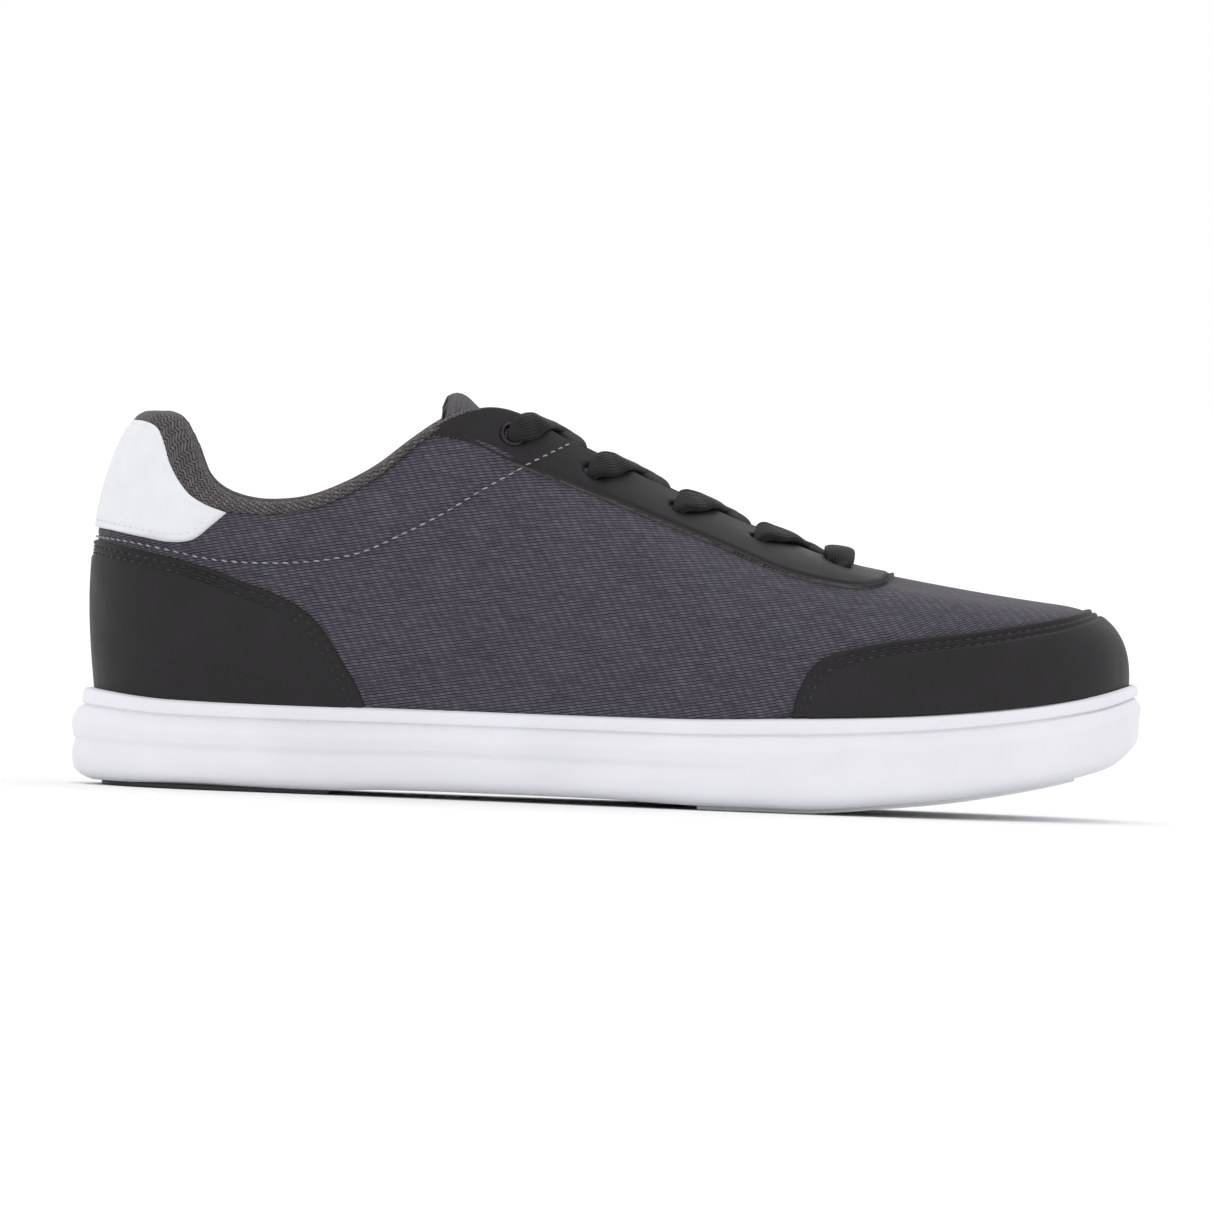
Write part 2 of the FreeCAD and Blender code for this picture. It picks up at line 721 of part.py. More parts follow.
def make_eyelet(label, side):
    """A metal eyelet in the top lace hole: a flange and a barrel, turned about the hole's axis."""
    body = doc.addObject("PartDesign::Body", label)
    body.Label = label
    sketch = body.newObject("Sketcher::SketchObject", label + "_section")
    plane = [f for f in body.Origin.OriginFeatures if f.Role == "XZ_Plane"][0]
    sketch.AttachmentSupport = (plane, [""])
    sketch.MapMode = "FlatFace"
    outer = size("eyelet_outer") / 2
    flange, depth = size("eyelet_flange"), size("eyelet_depth")
    wall_radius = size("lace_hole") / 2 - 0.02
    inside = size("eyelet_bore") / 2 - 0.15
    corners = [(inside, -depth), (wall_radius, -depth), (wall_radius, 0), (outer, 0), (outer, flange),
               (inside, flange)]
    for (ax, az), (bx, bz) in zip(corners, corners[1:] + corners[:1]):
        sketch.addGeometry(Part.LineSegment(Vector(ax, az, 0), Vector(bx, bz, 0)))
    turned = body.newObject("PartDesign::Revolution", label + "_turned")
    turned.Profile = sketch
    turned.ReferenceAxis = (sketch, ["V_Axis"])
    turned.Angle = 360
    centre, outward = hole_axis(0, side)
    lift = 1.5 * GAP + size("overlay")
    body.Placement = Placement(centre + outward * lift, Rotation(Vector(0, 0, 1), outward))
    return body


def build():
    """All the sub-parts."""
    cutters = lace_hole_cutters()
    add("cupsole", make_cupsole())
    make_heel_pad()
    add("slide_pad", make_slide_pad())
    add("midsole_insert", make_midsole())
    add("shank", shank_blank(0.0))
    add("insole_board", make_board())
    add("footbed_foam", make_footbed("foam"))
    add("footbed_cover", make_footbed("cover"))
    add("textile_upper", make_textile(cutters))
    add("toe_cap", make_toe_cap())
    add("heel_overlay", make_heel_overlay())
    add("heel_tab", make_heel_tab())
    add("eyestay", make_eyestay(cutters))
    add("vamp_lining", make_vamp_lining(cutters))
    add("toe_puff", make_toe_puff())
    add("heel_counter", make_heel_counter())
    add("collar_foam", make_collar_foam())
    add("collar_lining", make_collar_lining())
    skin, foam = size("tongue_skin"), size("tongue_foam")
    add("tongue_outer", tongue_layer(TONGUE_DEPTH, skin))
    add("tongue_foam", tongue_layer(TONGUE_DEPTH + skin + GAP, foam))
    add("tongue_lining", tongue_layer(TONGUE_DEPTH + skin + foam + 2 * GAP, skin))
    make_eyelet("eyelet_outer_side", -1)
    make_eyelet("eyelet_inner_side", 1)
    cord, route = make_lace()
    add("lace", cord)
    make_aglet("aglet_outer_side", route[0], route[1])
    make_aglet("aglet_inner_side", route[-1], route[-2])


build()
doc.recompute()
for item in doc.Objects:
    if "Invalid" in item.State or "Error" in item.State:
        raise RuntimeError("%s did not build" % item.Label)
subparts = [item for item in doc.Objects
            if item.TypeId in ("Part::Feature", "PartDesign::Body", "Part::Cylinder")]
for item in subparts:
    shape = item.Shape
    if shape.isNull() or not shape.isValid():
        raise RuntimeError("%s has no valid shape" % item.Label)
    print("%-18s solids %d volume %9.1f" % (item.Label, len(shape.Solids), shape.Volume))
    shape.exportStep("parts/%s.step" % item.Label)
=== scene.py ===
"""The looks of the bowling shoe: every visible piece, its materials, the light and the camera.

Lengths in the tables are millimetres in the shoe's frame: +X to the toe, +Y to the inner side, +Z up.
They are turned into metres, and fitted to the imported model's length, when a mesh is made.
A place on the upper is a station, 0 to 24 around the shoe from the toe by the outer side, and a
rise, 0 at the sole's rim and 1 at the top line.
"""

import math

import bpy
import numpy as np
from mathutils import Matrix, Vector, kdtree


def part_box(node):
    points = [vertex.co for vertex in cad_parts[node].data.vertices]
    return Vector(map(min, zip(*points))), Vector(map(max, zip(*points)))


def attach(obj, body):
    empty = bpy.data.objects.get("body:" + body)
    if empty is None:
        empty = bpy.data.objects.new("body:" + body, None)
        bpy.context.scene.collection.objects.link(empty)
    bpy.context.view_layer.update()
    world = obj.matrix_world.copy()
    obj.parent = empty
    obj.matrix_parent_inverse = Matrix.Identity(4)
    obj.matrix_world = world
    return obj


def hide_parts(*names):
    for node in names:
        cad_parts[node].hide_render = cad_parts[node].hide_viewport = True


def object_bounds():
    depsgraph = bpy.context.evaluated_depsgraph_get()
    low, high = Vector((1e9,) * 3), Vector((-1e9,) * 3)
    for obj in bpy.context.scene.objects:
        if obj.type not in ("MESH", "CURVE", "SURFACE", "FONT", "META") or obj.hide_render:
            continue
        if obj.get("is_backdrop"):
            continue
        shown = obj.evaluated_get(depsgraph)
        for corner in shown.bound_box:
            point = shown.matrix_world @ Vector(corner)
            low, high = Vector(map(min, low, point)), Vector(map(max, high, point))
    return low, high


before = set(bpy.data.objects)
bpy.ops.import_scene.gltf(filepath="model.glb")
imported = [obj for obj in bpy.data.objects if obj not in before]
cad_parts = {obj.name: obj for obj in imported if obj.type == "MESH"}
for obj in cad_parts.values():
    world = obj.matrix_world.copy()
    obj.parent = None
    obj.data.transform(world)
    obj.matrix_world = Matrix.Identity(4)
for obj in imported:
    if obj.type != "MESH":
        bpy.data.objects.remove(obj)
cad_low, cad_high = (np.array(corner, float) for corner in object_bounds())

DRAWN_LENGTH = 300.0
sole_low, sole_high = (np.array(corner, float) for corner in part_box("cupsole"))
UNIT = (sole_high[0] - sole_low[0]) / DRAWN_LENGTH
HALF = DRAWN_LENGTH / 2
BEAM = (sole_high[1] - sole_low[1]) / UNIT / 2
STATIONS = 24

# ---- the shoe's form ----------------------------------------------------------------------------

OUTLINE = (
    (1.0, 0.13), (0.973, -0.24), (0.885, -0.55), (0.733, -0.79), (0.533, -0.95), (0.313, -1.0),
    (0.087, -0.93), (-0.153, -0.81), (-0.4, -0.74), (-0.633, -0.71), (-0.827, -0.62), (-0.955, -0.37),
    (-1.0, 0.0), (-0.955, 0.37), (-0.827, 0.6), (-0.633, 0.68), (-0.4, 0.66), (-0.153, 0.68),
    (0.087, 0.82), (0.313, 0.97), (0.533, 1.0), (0.733, 0.92), (0.885, 0.74), (0.973, 0.47),
)
TOPLINE = (
    (0.475, 0.02), (0.47, -0.06), (0.455, -0.12), (0.42, -0.17), (0.345, -0.21), (0.215, -0.255),
    (0.05, -0.32), (-0.16, -0.41), (-0.38, -0.55), (-0.593, -0.6), (-0.747, -0.5), (-0.843, -0.26),
    (-0.873, 0.0), (-0.843, 0.26), (-0.747, 0.5), (-0.593, 0.58), (-0.38, 0.54), (-0.16, 0.41),
    (0.05, 0.33), (0.215, 0.275), (0.345, 0.235), (0.42, 0.2), (0.455, 0.15), (0.47, 0.09),
)
# The wall's section at stations 0 to 12: where the shoulder ends, squareness, even slope's share,
# bulge, and the distance from the sole's outline.
SECTION = (
    (0.28, 2.6, 0.3, 0.2, 3.4), (0.3, 2.6, 0.3, 0.3, 3.5), (0.34, 2.6, 0.29, 0.5, 3.8),
    (0.46, 2.5, 0.26, 0.9, 4.2), (0.68, 2.4, 0.23, 1.3, 4.6), (0.88, 2.3, 0.21, 1.6, 4.7),
    (0.97, 2.1, 0.2, 2.0, 4.7), (1.0, 2.0, 0.2, 2.2, 4.7), (1.0, 2.0, 0.16, 2.6, 4.7),
    (1.0, 2.1, 0.1, 3.0, 4.9), (1.0, 2.2, 0.05, 3.2, 5.4), (1.0, 2.3, 0.0, 3.2, 6.4),
    (1.0, 2.3, 0.0, 3.2, 7.0),
)
TOP_HEIGHT = (
    (-131, 104.3), (-124.5, 103.3), (-120, 97), (-116, 88.5), (-111, 83.6), (-104, 80.9), (-96, 80.2),
    (-86, 81.6), (-76, 85.6), (-66, 91.6), (-57, 99), (-47, 106), (-37, 109.4), (-28, 108.2),
    (-11, 100.2), (10, 90.8), (38, 79.2), (59, 71.4), (69, 68.6), (74, 68),
)
RIM_HEIGHT = (
    (-150, 26.8), (-125, 24.8), (-60, 24.7), (20, 25.1), (52, 26.4), (88, 28.4), (118, 31.6),
    (138, 35.2), (150, 38.6),
)
SOLE_HEIGHT = (
    (-150, 1.1), (-110, 1.1), (-76, 1.1), (-60, 1.8), (0, 1.8), (24, 1.1), (45, 1.1), (60, 1.2),
    (79, 3.0), (99, 5.4), (118, 8.9), (132, 12.2), (142, 15.6), (150, 20.5),
)
BED_HEIGHT = (
    (-150, 12.2), (-100, 12.0), (-60, 11.6), (0, 10.2), (50, 9.8), (80, 11.4), (100, 14.0),
    (118, 17.4), (138, 23.0), (150, 27.0),
)
TOE_CAP_EDGE = (
    (52.4, 20), (52.8, 28), (54.8, 35.5), (58.5, 41.8), (64, 45.2), (75.7, 48.4), (89.3, 50.6),
    (103, 52.5), (117, 54.9), (130, 57.4), (135.5, 59.2), (136.8, 62),
)
HEEL_OVERLAY_EDGE = (
    (-160, 69.6), (-145.3, 68.5), (-131.2, 66.3), (-115, 62.8), (-101.8, 58.4), (-90, 54), (-82.1, 48.6),
    (-75, 38.8), (-68.5, 28), (-65.5, 18),
)
HEEL_TAB_LOWER = (
    (-160, 72.4), (-144.2, 72), (-132, 70.2), (-124, 69.1), (-117.6, 70), (-112.5, 74), (-108.2, 77.8),
)
HEEL_TAB_UPPER = (
    (-108.2, 77.8), (-114.5, 80), (-119.5, 83.2), (-124.1, 89.8), (-126.3, 96.4), (-128.5, 100.8),
    (-133, 102.2), (-160, 101),
)
EYESTAY_EDGE = (
    (-58, 99), (-50, 101.6), (-40.3, 99.6), (-27, 94), (-12.7, 89.2), (11.3, 80.4), (30.7, 73.4),
    (48.3, 66.8), (63, 63.8), (73, 63.4), (79, 65.4), (81.6, 69.4),
)
COLLAR_SEAM = (
    (-160, 70.2), (-137.8, 68.9), (-126.2, 67.1), (-111.1, 64.6), (-96, 64.3), (-82, 65.5),
    (-69.9, 68.4), (-59.2, 73.6), (-47.9, 79.8), (-36.7, 87.1), (-25.5, 93.8), (-15.4, 99.1), (-8, 102.8),
)
HOLE_PLACES = (-29.0, -6.0, 18.4, 41.4, 64.6)
HOLE_RISE = 0.87


def smooth(points, at):
    """A smooth height through a few points, at any places along the shoe."""
    xs, zs = (np.array(column, float) for column in zip(*points))
    slopes = np.empty_like(zs)
    slopes[1:-1] = (zs[2:] - zs[:-2]) / (xs[2:] - xs[:-2])
    slopes[0] = (zs[1] - zs[0]) / (xs[1] - xs[0])
    slopes[-1] = (zs[-1] - zs[-2]) / (xs[-1] - xs[-2])
    at = np.clip(np.asarray(at, float), xs[0], xs[-1])
    i = np.clip(np.searchsorted(xs, at, side="right") - 1, 0, len(xs) - 2)
    span = xs[i + 1] - xs[i]
    f = (at - xs[i]) / span
    return (
        zs[i] * (1 + 2 * f) * (1 - f) ** 2
        + zs[i + 1] * f * f * (3 - 2 * f)
        + span * (slopes[i] * f * (1 - f) ** 2 - slopes[i + 1] * f * f * (1 - f))
    )


def unit(vectors):
    """The vectors at a length of 1."""
    return vectors / np.linalg.norm(vectors, axis=-1, keepdims=True)


def way_along(path):
    """How far along a line of points each of them lies."""
    return np.concatenate([[0], np.cumsum(np.linalg.norm(np.diff(path, axis=0), axis=1))])


def ways_across(grid):
    """How far along its own row each point of a grid lies."""
    steps = np.cumsum(np.linalg.norm(np.diff(grid, axis=1), axis=-1), axis=1)
    return np.concatenate([np.zeros((len(grid), 1)), steps], axis=1)


def control(values):
    """Control values of the closed uniform cubic spline that passes through the given ones."""
    values = np.array(values, float)
    weights = values.copy()
    for _ in range(30):
        weights += values - (np.roll(weights, 1) + 4 * weights + np.roll(weights, -1)) / 6
    return weights


def around(weights, station):
    """The closed cubic spline's value at each station."""
    station = np.asarray(station, float)
    base = np.floor(station).astype(int)
    f = station - base
    shares = ((1 - f) ** 3, 3 * f ** 3 - 6 * f * f + 4, 3 * f * (1 + f - f * f) + 1, f ** 3)
    return sum(share * weights[(base + k - 1) % len(weights)] for k, share in enumerate(shares)) / 6


def mirrored(column):
    """A section value at all the stations, the same on both sides."""
    one_side = [row[column] for row in SECTION]
    return control(one_side + one_side[-2:0:-1])


OUT_X = control([x * HALF for x, y in OUTLINE])
OUT_Y = control([y * BEAM for x, y in OUTLINE])
TOP_X = control([x * HALF for x, y in TOPLINE])
TOP_Y = control([y * BEAM for x, y in TOPLINE])
SHOULDER, SQUARENESS, SLOPE, BULGE, INSET = (mirrored(column) for column in range(5))


def edge_point(station, inset=0.0):
    """Points of the sole's outline from above, moved in by inset, and their outward directions."""
    step = 0.01
    here = np.stack([around(OUT_X, station), around(OUT_Y, station)], -1)
    ahead = np.stack([around(OUT_X, station + step), around(OUT_Y, station + step)], -1)
    along = unit(ahead - here)
    outward = np.stack([-along[..., 1], along[..., 0]], -1)
    return here - outward * np.asarray(inset)[..., None], outward


def wall(station, rise):
    """Points of the upper's outer face. Below 0 the rise goes down inside the cupsole."""
    station, rise = np.broadcast_arrays(np.asarray(station, float), np.asarray(rise, float))
    foot, outward = edge_point(station, around(INSET, station))
    rim = smooth(RIM_HEIGHT, foot[..., 0])
    floor = smooth(BED_HEIGHT, foot[..., 0]) + 0.3
    top = np.stack([around(TOP_X, station), around(TOP_Y, station)], -1)
    top_z = smooth(TOP_HEIGHT, top[..., 0])
    shoulder = np.minimum(around(SHOULDER, station), 1.0)
    power = 2 / around(SQUARENESS, station)
    slope = around(SLOPE, station)
    turn = 0.43 + 0.57 * shoulder
    up = np.clip(rise, 0, 1)
    angle = np.clip(math.pi / 2 * up / turn, 0, math.pi / 2)
    beyond = np.clip((up - turn) / np.maximum(1 - turn, 1e-6), 0, 1)
    inward = np.where(up <= turn, shoulder * (1 - np.cos(angle) ** power), shoulder + (1 - shoulder) * beyond)
    climb = np.where(up <= turn, np.sin(angle) ** power, 1.0)
    height = slope * inward ** 1.4 + (1 - slope) * climb
    swell = around(BULGE, station) * np.sin(math.pi * np.minimum(height, 1))
    plan = foot * (1 - inward)[..., None] + top * inward[..., None] + outward * swell[..., None]
    z = np.where(rise < 0, rim + (rim - floor) * rise, rim + (top_z - rim) * height)
    return np.concatenate([plan, z[..., None]], -1)


def wall_normal(station, rise):
    """The outward directions of the upper's outer face."""
    station, rise = np.broadcast_arrays(np.asarray(station, float), np.asarray(rise, float))
    step = 0.004
    low = np.clip(rise, 0, 1 - step)
    up = wall(station, low + step) - wall(station, low)
    side = wall(station + step, low + step / 2) - wall(station - step, low + step / 2)
    normal = unit(np.cross(up, side))
    flat = np.concatenate([edge_point(station)[1], np.zeros(station.shape + (1,))], -1)
    return np.where((rise <= 0)[..., None], flat, normal)


def raised(station, rise, height):
    """Points at a height over the upper's outer face, or under it where the height is negative."""
    return wall(station, rise) + wall_normal(station, rise) * np.asarray(height)[..., None]


def along_curve(points, count):
    """Evenly spaced points on a smooth curve through a few points."""
    points = np.array(points, float)
    reach = way_along(points)
    fine = np.linspace(0, reach[-1], count * 8)
    track = np.stack([smooth(list(zip(reach, column)), fine) for column in points.T], -1)
    run = way_along(track)
    even = np.linspace(0, run[-1], count)
    return np.stack([np.interp(even, run, column) for column in track.T], -1)


def bump_at(distance, centre, width):
    """A smooth bump of height 1 at a distance."""
    return np.exp(-((np.asarray(distance) - centre) / width) ** 2)


def ease(value, low, high):
    """A smooth step from 0 at low to 1 at high."""
    f = np.clip((np.asarray(value, float) - low) / (high - low), 0, 1)
    return f * f * (3 - 2 * f)


# ---- meshes -------------------------------------------------------------------------------------

def make_object(name, points, faces, material, uv=None):
    """A smooth-shaded piece from points in millimetres."""
    mesh = bpy.data.meshes.new(name)
    mesh.from_pydata((np.asarray(points, float).reshape(-1, 3) * UNIT).tolist(), [], faces)
    mesh.materials.append(material)
    mesh.polygons.foreach_set("use_smooth", [True] * len(mesh.polygons))
    if uv is not None:
        layer = mesh.uv_layers.new(name="weave")
        corner_points = np.empty(len(mesh.loops), int)
        mesh.loops.foreach_get("vertex_index", corner_points)
        layer.data.foreach_set("uv", np.asarray(uv, np.float32)[corner_points].ravel())
    mesh.validate()
    piece = bpy.data.objects.new(name, mesh)
    bpy.context.scene.collection.objects.link(piece)
    return piece


def grid_faces(rows, columns, closed=False):
    """Quads of a grid of rows by columns, closed around its rows or open."""
    faces = []
    for i in range(rows if closed else rows - 1):
        j = (i + 1) % rows
        for k in range(columns - 1):
            faces.append((i * columns + k, j * columns + k, j * columns + k + 1, i * columns + k + 1))
    return faces


def border_edges(faces):
    """The edges that belong to one face only, in that face's direction."""
    seen = {}
    for face in faces:
        for first, last in zip(face, face[1:] + face[:1]):
            if (last, first) in seen:
                del seen[(last, first)]
            else:
                seen[(first, last)] = True
    return list(seen)


def thick_shell(outer, inner, faces):
    """A closed shell: an outer sheet, the same sheet turned round as its inside, and the rim."""
    count = len(outer)
    back = [tuple(i + count for i in reversed(face)) for face in faces]
    rim = [(last, first, first + count, last + count) for first, last in border_edges(faces)]
    return np.concatenate([outer, inner]), faces + back + rim


def side_distance(points, outline):
    """How far inside a closed side-view outline each point lies: negative outside."""
    flat = points[..., (0, 2)].reshape(-1, 2)
    starts = np.array(outline, float)
    ends = np.roll(starts, -1, axis=0)
    best = np.full(len(flat), 1e9)
    inside = np.zeros(len(flat), bool)
    for start, end in zip(starts, ends):
        along = end - start
        length = along @ along
        if length < 1e-12:
            continue
        share = np.clip((flat - start) @ along / length, 0, 1)
        gap = flat - start - share[:, None] * along
        best = np.minimum(best, np.einsum("ij,ij->i", gap, gap))
        spans = (start[1] > flat[:, 1]) != (end[1] > flat[:, 1])
        if start[1] != end[1]:
            cross = start[0] + (flat[:, 1] - start[1]) * along[0] / along[1]
            inside ^= spans & (flat[:, 0] < cross)
    distance = np.sqrt(best)
    return np.where(inside, distance, -distance).reshape(points.shape[:-1])


def cut_sheet(stations, rises, field):
    """The part of a grid of stations and rises where the field is positive.

    Returns each point's station and rise, the faces, and the points on the cut edge."""
    rows, columns = len(stations), len(rises)
    grid_s, grid_r = np.meshgrid(stations, rises, indexing="ij")
    values = field(grid_s, grid_r)
    values = np.where(np.abs(values) < 1e-6, 1e-6, values)
    places, index, faces, cut_points = [], {}, [], set()

    def corner(i, k):
        if (i, k) not in index:
            index[i, k] = len(places)
            places.append((stations[i], rises[k]))
        return index[i, k]

    def crossing(a, b):
        key = (min(a, b), max(a, b))
        if key not in index:
            (i, k), (m, n) = key
            share = values[i, k] / (values[i, k] - values[m, n])
            index[key] = len(places)
            places.append((stations[i] + share * (stations[m] - stations[i]),
                           rises[k] + share * (rises[n] - rises[k])))
            cut_points.add(index[key])
        return index[key]

    positive = values > 0
    for i in range(rows - 1):
        for k in range(columns - 1):
            cell = ((i, k), (i + 1, k), (i + 1, k + 1), (i, k + 1))
            signs = [positive[c] for c in cell]
            if not any(signs):
                continue
            if all(signs):
                faces.append(tuple(corner(*c) for c in cell))
                continue
            loop = []
            for a, b, in_a, in_b in zip(cell, cell[1:] + cell[:1], signs, signs[1:] + signs[:1]):
                if in_a:
                    loop.append(corner(*a))
                if in_a != in_b:
                    loop.append(crossing(a, b))
            faces.append(tuple(loop))
    return np.array(places), faces, cut_points


def nearest_distance(points, targets):
    """Each point's distance to the nearest of some target points."""
    tree = kdtree.KDTree(len(targets))
    for i, target in enumerate(targets):
        tree.insert(target, i)
    tree.balance()
    return np.array([tree.find(point)[2] for point in points])


# ---- materials ----------------------------------------------------------------------------------

class Shading:
    """A material's nodes, with short calls to add and join them."""

    def __init__(self, name):
        self.material = bpy.data.materials.new(name)
        self.material.use_nodes = True
        self.nodes = self.material.node_tree.nodes
        self.links = self.material.node_tree.links
        self.shader = self.nodes["Principled BSDF"]

    def add(self, kind, **inputs):
        """Adds a node. Inputs are its sockets' values, or other nodes' outputs to join to them."""
        node = self.nodes.new("ShaderNode" + kind)
        for key, value in inputs.items():
            self.put(node, key, value)
        return node

    def put(self, node, key, value):
        socket = node.inputs[int(key[1:])] if key[0] == "i" and key[1:].isdigit() else node.inputs[key]
        if isinstance(value, bpy.types.NodeSocket):
            self.links.new(value, socket)
        else:
            socket.default_value = value

    def math(self, operation, first, second=0.0, third=0.0):
        node = self.add("Math", i0=first, i1=second, i2=third)
        node.operation = operation
        return node.outputs[0]

    def place(self):
        """The place on the object, in millimetres."""
        source = self.add("TexCoord").outputs["Object"]
        scaled = self.add("VectorMath", i0=source, i1=(1 / UNIT,) * 3)
        scaled.operation = "MULTIPLY"
        return scaled.outputs[0]

    def uv(self):
        return self.add("UVMap").outputs[0]

    def noise(self, at, size, detail=2.0, rough=0.5, stretch=(1, 1, 1)):
        """Noise from 0 to 1 whose blobs are about as large as size, in millimetres."""
        scaled = self.add("VectorMath", i0=at, i1=tuple(1 / (size * s) for s in stretch))
        scaled.operation = "MULTIPLY"
        node = self.add("TexNoise", Vector=scaled.outputs[0], Scale=1.0, Detail=detail, Roughness=rough)
        return node.outputs[0]

    def span(self, value, low, high, to_low=0.0, to_high=1.0):
        node = self.add("MapRange", i0=value, i1=low, i2=high, i3=to_low, i4=to_high)
        return node.outputs[0]

    def arch(self, value):
        """A half wave that rises and falls once while the value goes from 0 to 1."""
        return self.math("SINE", self.math("MULTIPLY", value, math.pi))

    def cell_tone(self, first, second):
        """A chance value for each cell that a pair of numbers counts."""
        node = self.add("TexWhiteNoise", i0=self.add("CombineXYZ", i0=first, i1=second).outputs[0])
        node.noise_dimensions = "2D"
        return node.outputs[0]

    def mix(self, share, first, second):
        node = self.nodes.new("ShaderNodeMix")
        node.data_type = "RGBA"
        self.put(node, "i0", share)
        self.put(node, "i6", first)
        self.put(node, "i7", second)
        return node.outputs[2]

    def bump(self, height, distance, strength=1.0, under=None):
        """A bump of a height of 0 to 1 that stands for a distance in millimetres."""
        node = self.add("Bump", Height=height, Distance=distance * UNIT, Strength=strength)
        if under is not None:
            self.links.new(under, node.inputs["Normal"])
        return node.outputs[0]

    def finish(self, colour, roughness, normal=None, **settings):
        self.put(self.shader, "Base Color", colour)
        self.put(self.shader, "Roughness", roughness)
        if normal is not None:
            self.put(self.shader, "Normal", normal)
        for key, value in settings.items():
            self.shader.inputs[key.replace("_", " ")].default_value = value
        return self.material


def paint(red, green, blue):
    """A colour given as it looks on a screen, 0 to 255."""
    def linear(value):
        value /= 255
        return value / 12.92 if value <= 0.04045 else ((value + 0.055) / 1.055) ** 2.4
    return (linear(red), linear(green), linear(blue), 1.0)


def foam_rubber(name, light, dark):
    """Moulded sole foam: a fine skin, faint flow marks and slight colour changes."""
    s = Shading(name)
    at = s.place()
    patch = s.noise(at, 26, 3)
    fine = s.noise(at, 0.5, 3, 0.6)
    flow = s.noise(at, 5.5, 4, 0.62, (4.2, 4.2, 0.55))
    colour = s.mix(s.span(patch, 0.3, 0.7), dark, light)
    normal = s.bump(fine, 0.035, 0.5)
    normal = s.bump(flow, 0.22, 0.55, normal)
    return s.finish(colour, s.span(fine, 0.3, 0.7, 0.46, 0.58), normal, Specular_IOR_Level=0.4)


def leather(name, light, dark, grain, rough, depth=0.06):
    """Coated leather: a pebbled grain, soft creases and a slightly worn gloss."""
    s = Shading(name)
    at = s.place()
    cells = s.add("TexVoronoi", Vector=at, Scale=1 / grain, Randomness=1.0)
    cells.feature = "SMOOTH_F1"
    pebble = cells.outputs["Distance"]
    fine = s.noise(at, 0.35, 3, 0.6)
    broad = s.noise(at, 9, 4, 0.55)
    colour = s.mix(s.span(broad, 0.35, 0.68), dark, light)
    normal = s.bump(pebble, depth, 0.55)
    normal = s.bump(fine, depth * 0.6, 0.5, normal)
    normal = s.bump(broad, 0.3, 0.35, normal)
    gloss = s.math("MULTIPLY_ADD", fine, 0.12, s.span(broad, 0.3, 0.7, rough[0], rough[1]))
    return s.finish(colour, gloss, normal, Specular_IOR_Level=0.3)


def weave(name, light, dark, gap, row=0.74, wave=2.55, depth=0.16, leg_share=0.6, leg_rise=0.85):
    """A herringbone knit: yarns that zigzag along the shoe, stacked in rows.

    The long leg of each zigzag climbs to the toe and shows its full yarn, the short leg drops. Where the
    yarn's relief is low the colour turns to the gap colour: painted shade."""
    s = Shading(name)
    place = s.uv()
    warp = s.noise(place, 7, 2)
    parts = s.add("SeparateXYZ", i0=place)
    across, up = parts.outputs[0], parts.outputs[1]
    across = s.math("ADD", across, s.math("MULTIPLY", s.math("SUBTRACT", warp, 0.5), 1.2))
    phase = s.math("FRACT", s.math("DIVIDE", across, wave))
    rise = s.math("DIVIDE", phase, leg_share)
    drop = s.math("DIVIDE", s.math("SUBTRACT", 1.0, phase), 1 - leg_share)
    climb = s.math("MINIMUM", rise, drop)
    on_rise = s.math("LESS_THAN", phase, leg_share)
    rows = s.math("SUBTRACT", s.math("DIVIDE", up, row), s.math("MULTIPLY", climb, leg_rise))
    share = s.math("FRACT", rows)
    yarn = s.math("POWER", s.arch(share), 0.8)
    pinch = s.arch(climb)
    bead = s.math("MULTIPLY", yarn, s.math("MULTIPLY_ADD", pinch, 0.4, 0.6))
    bead = s.math("MULTIPLY", bead, s.math("MULTIPLY_ADD", on_rise, 0.12, 0.88))
    leg = s.math("ADD", s.math("FLOOR", s.math("DIVIDE", across, wave)), s.math("MULTIPLY", on_rise, 0.5))
    tone = s.cell_tone(leg, s.math("FLOOR", rows))
    broad = s.noise(place, 16, 3)
    streak = s.noise(place, 3.0, 2, 0.5, (2.6, 0.6, 1))
    fibre = s.noise(place, 0.16, 2, 0.6, (2.2, 1, 1))
    shade = s.math("MULTIPLY_ADD", tone, 0.42, s.math("MULTIPLY", streak, 0.58))
    shade = s.math("MULTIPLY_ADD", s.math("SUBTRACT", broad, 0.5), 0.35, shade)
    colour = s.mix(s.span(shade, 0.15, 0.85), dark, light)
    # Painted shade: low places of the yarn relief, between rows and on the short leg, take the dark gap
    # colour.
    colour = s.mix(s.span(bead, 0.25, 0.68, 1.0, 0.0), colour, gap)
    normal = s.bump(bead, depth, 1.0)
    normal = s.bump(fibre, 0.05, 0.5, normal)
    return s.finish(colour, 0.88, normal, Sheen_Weight=0.12, Sheen_Roughness=0.45, Specular_IOR_Level=0.25)


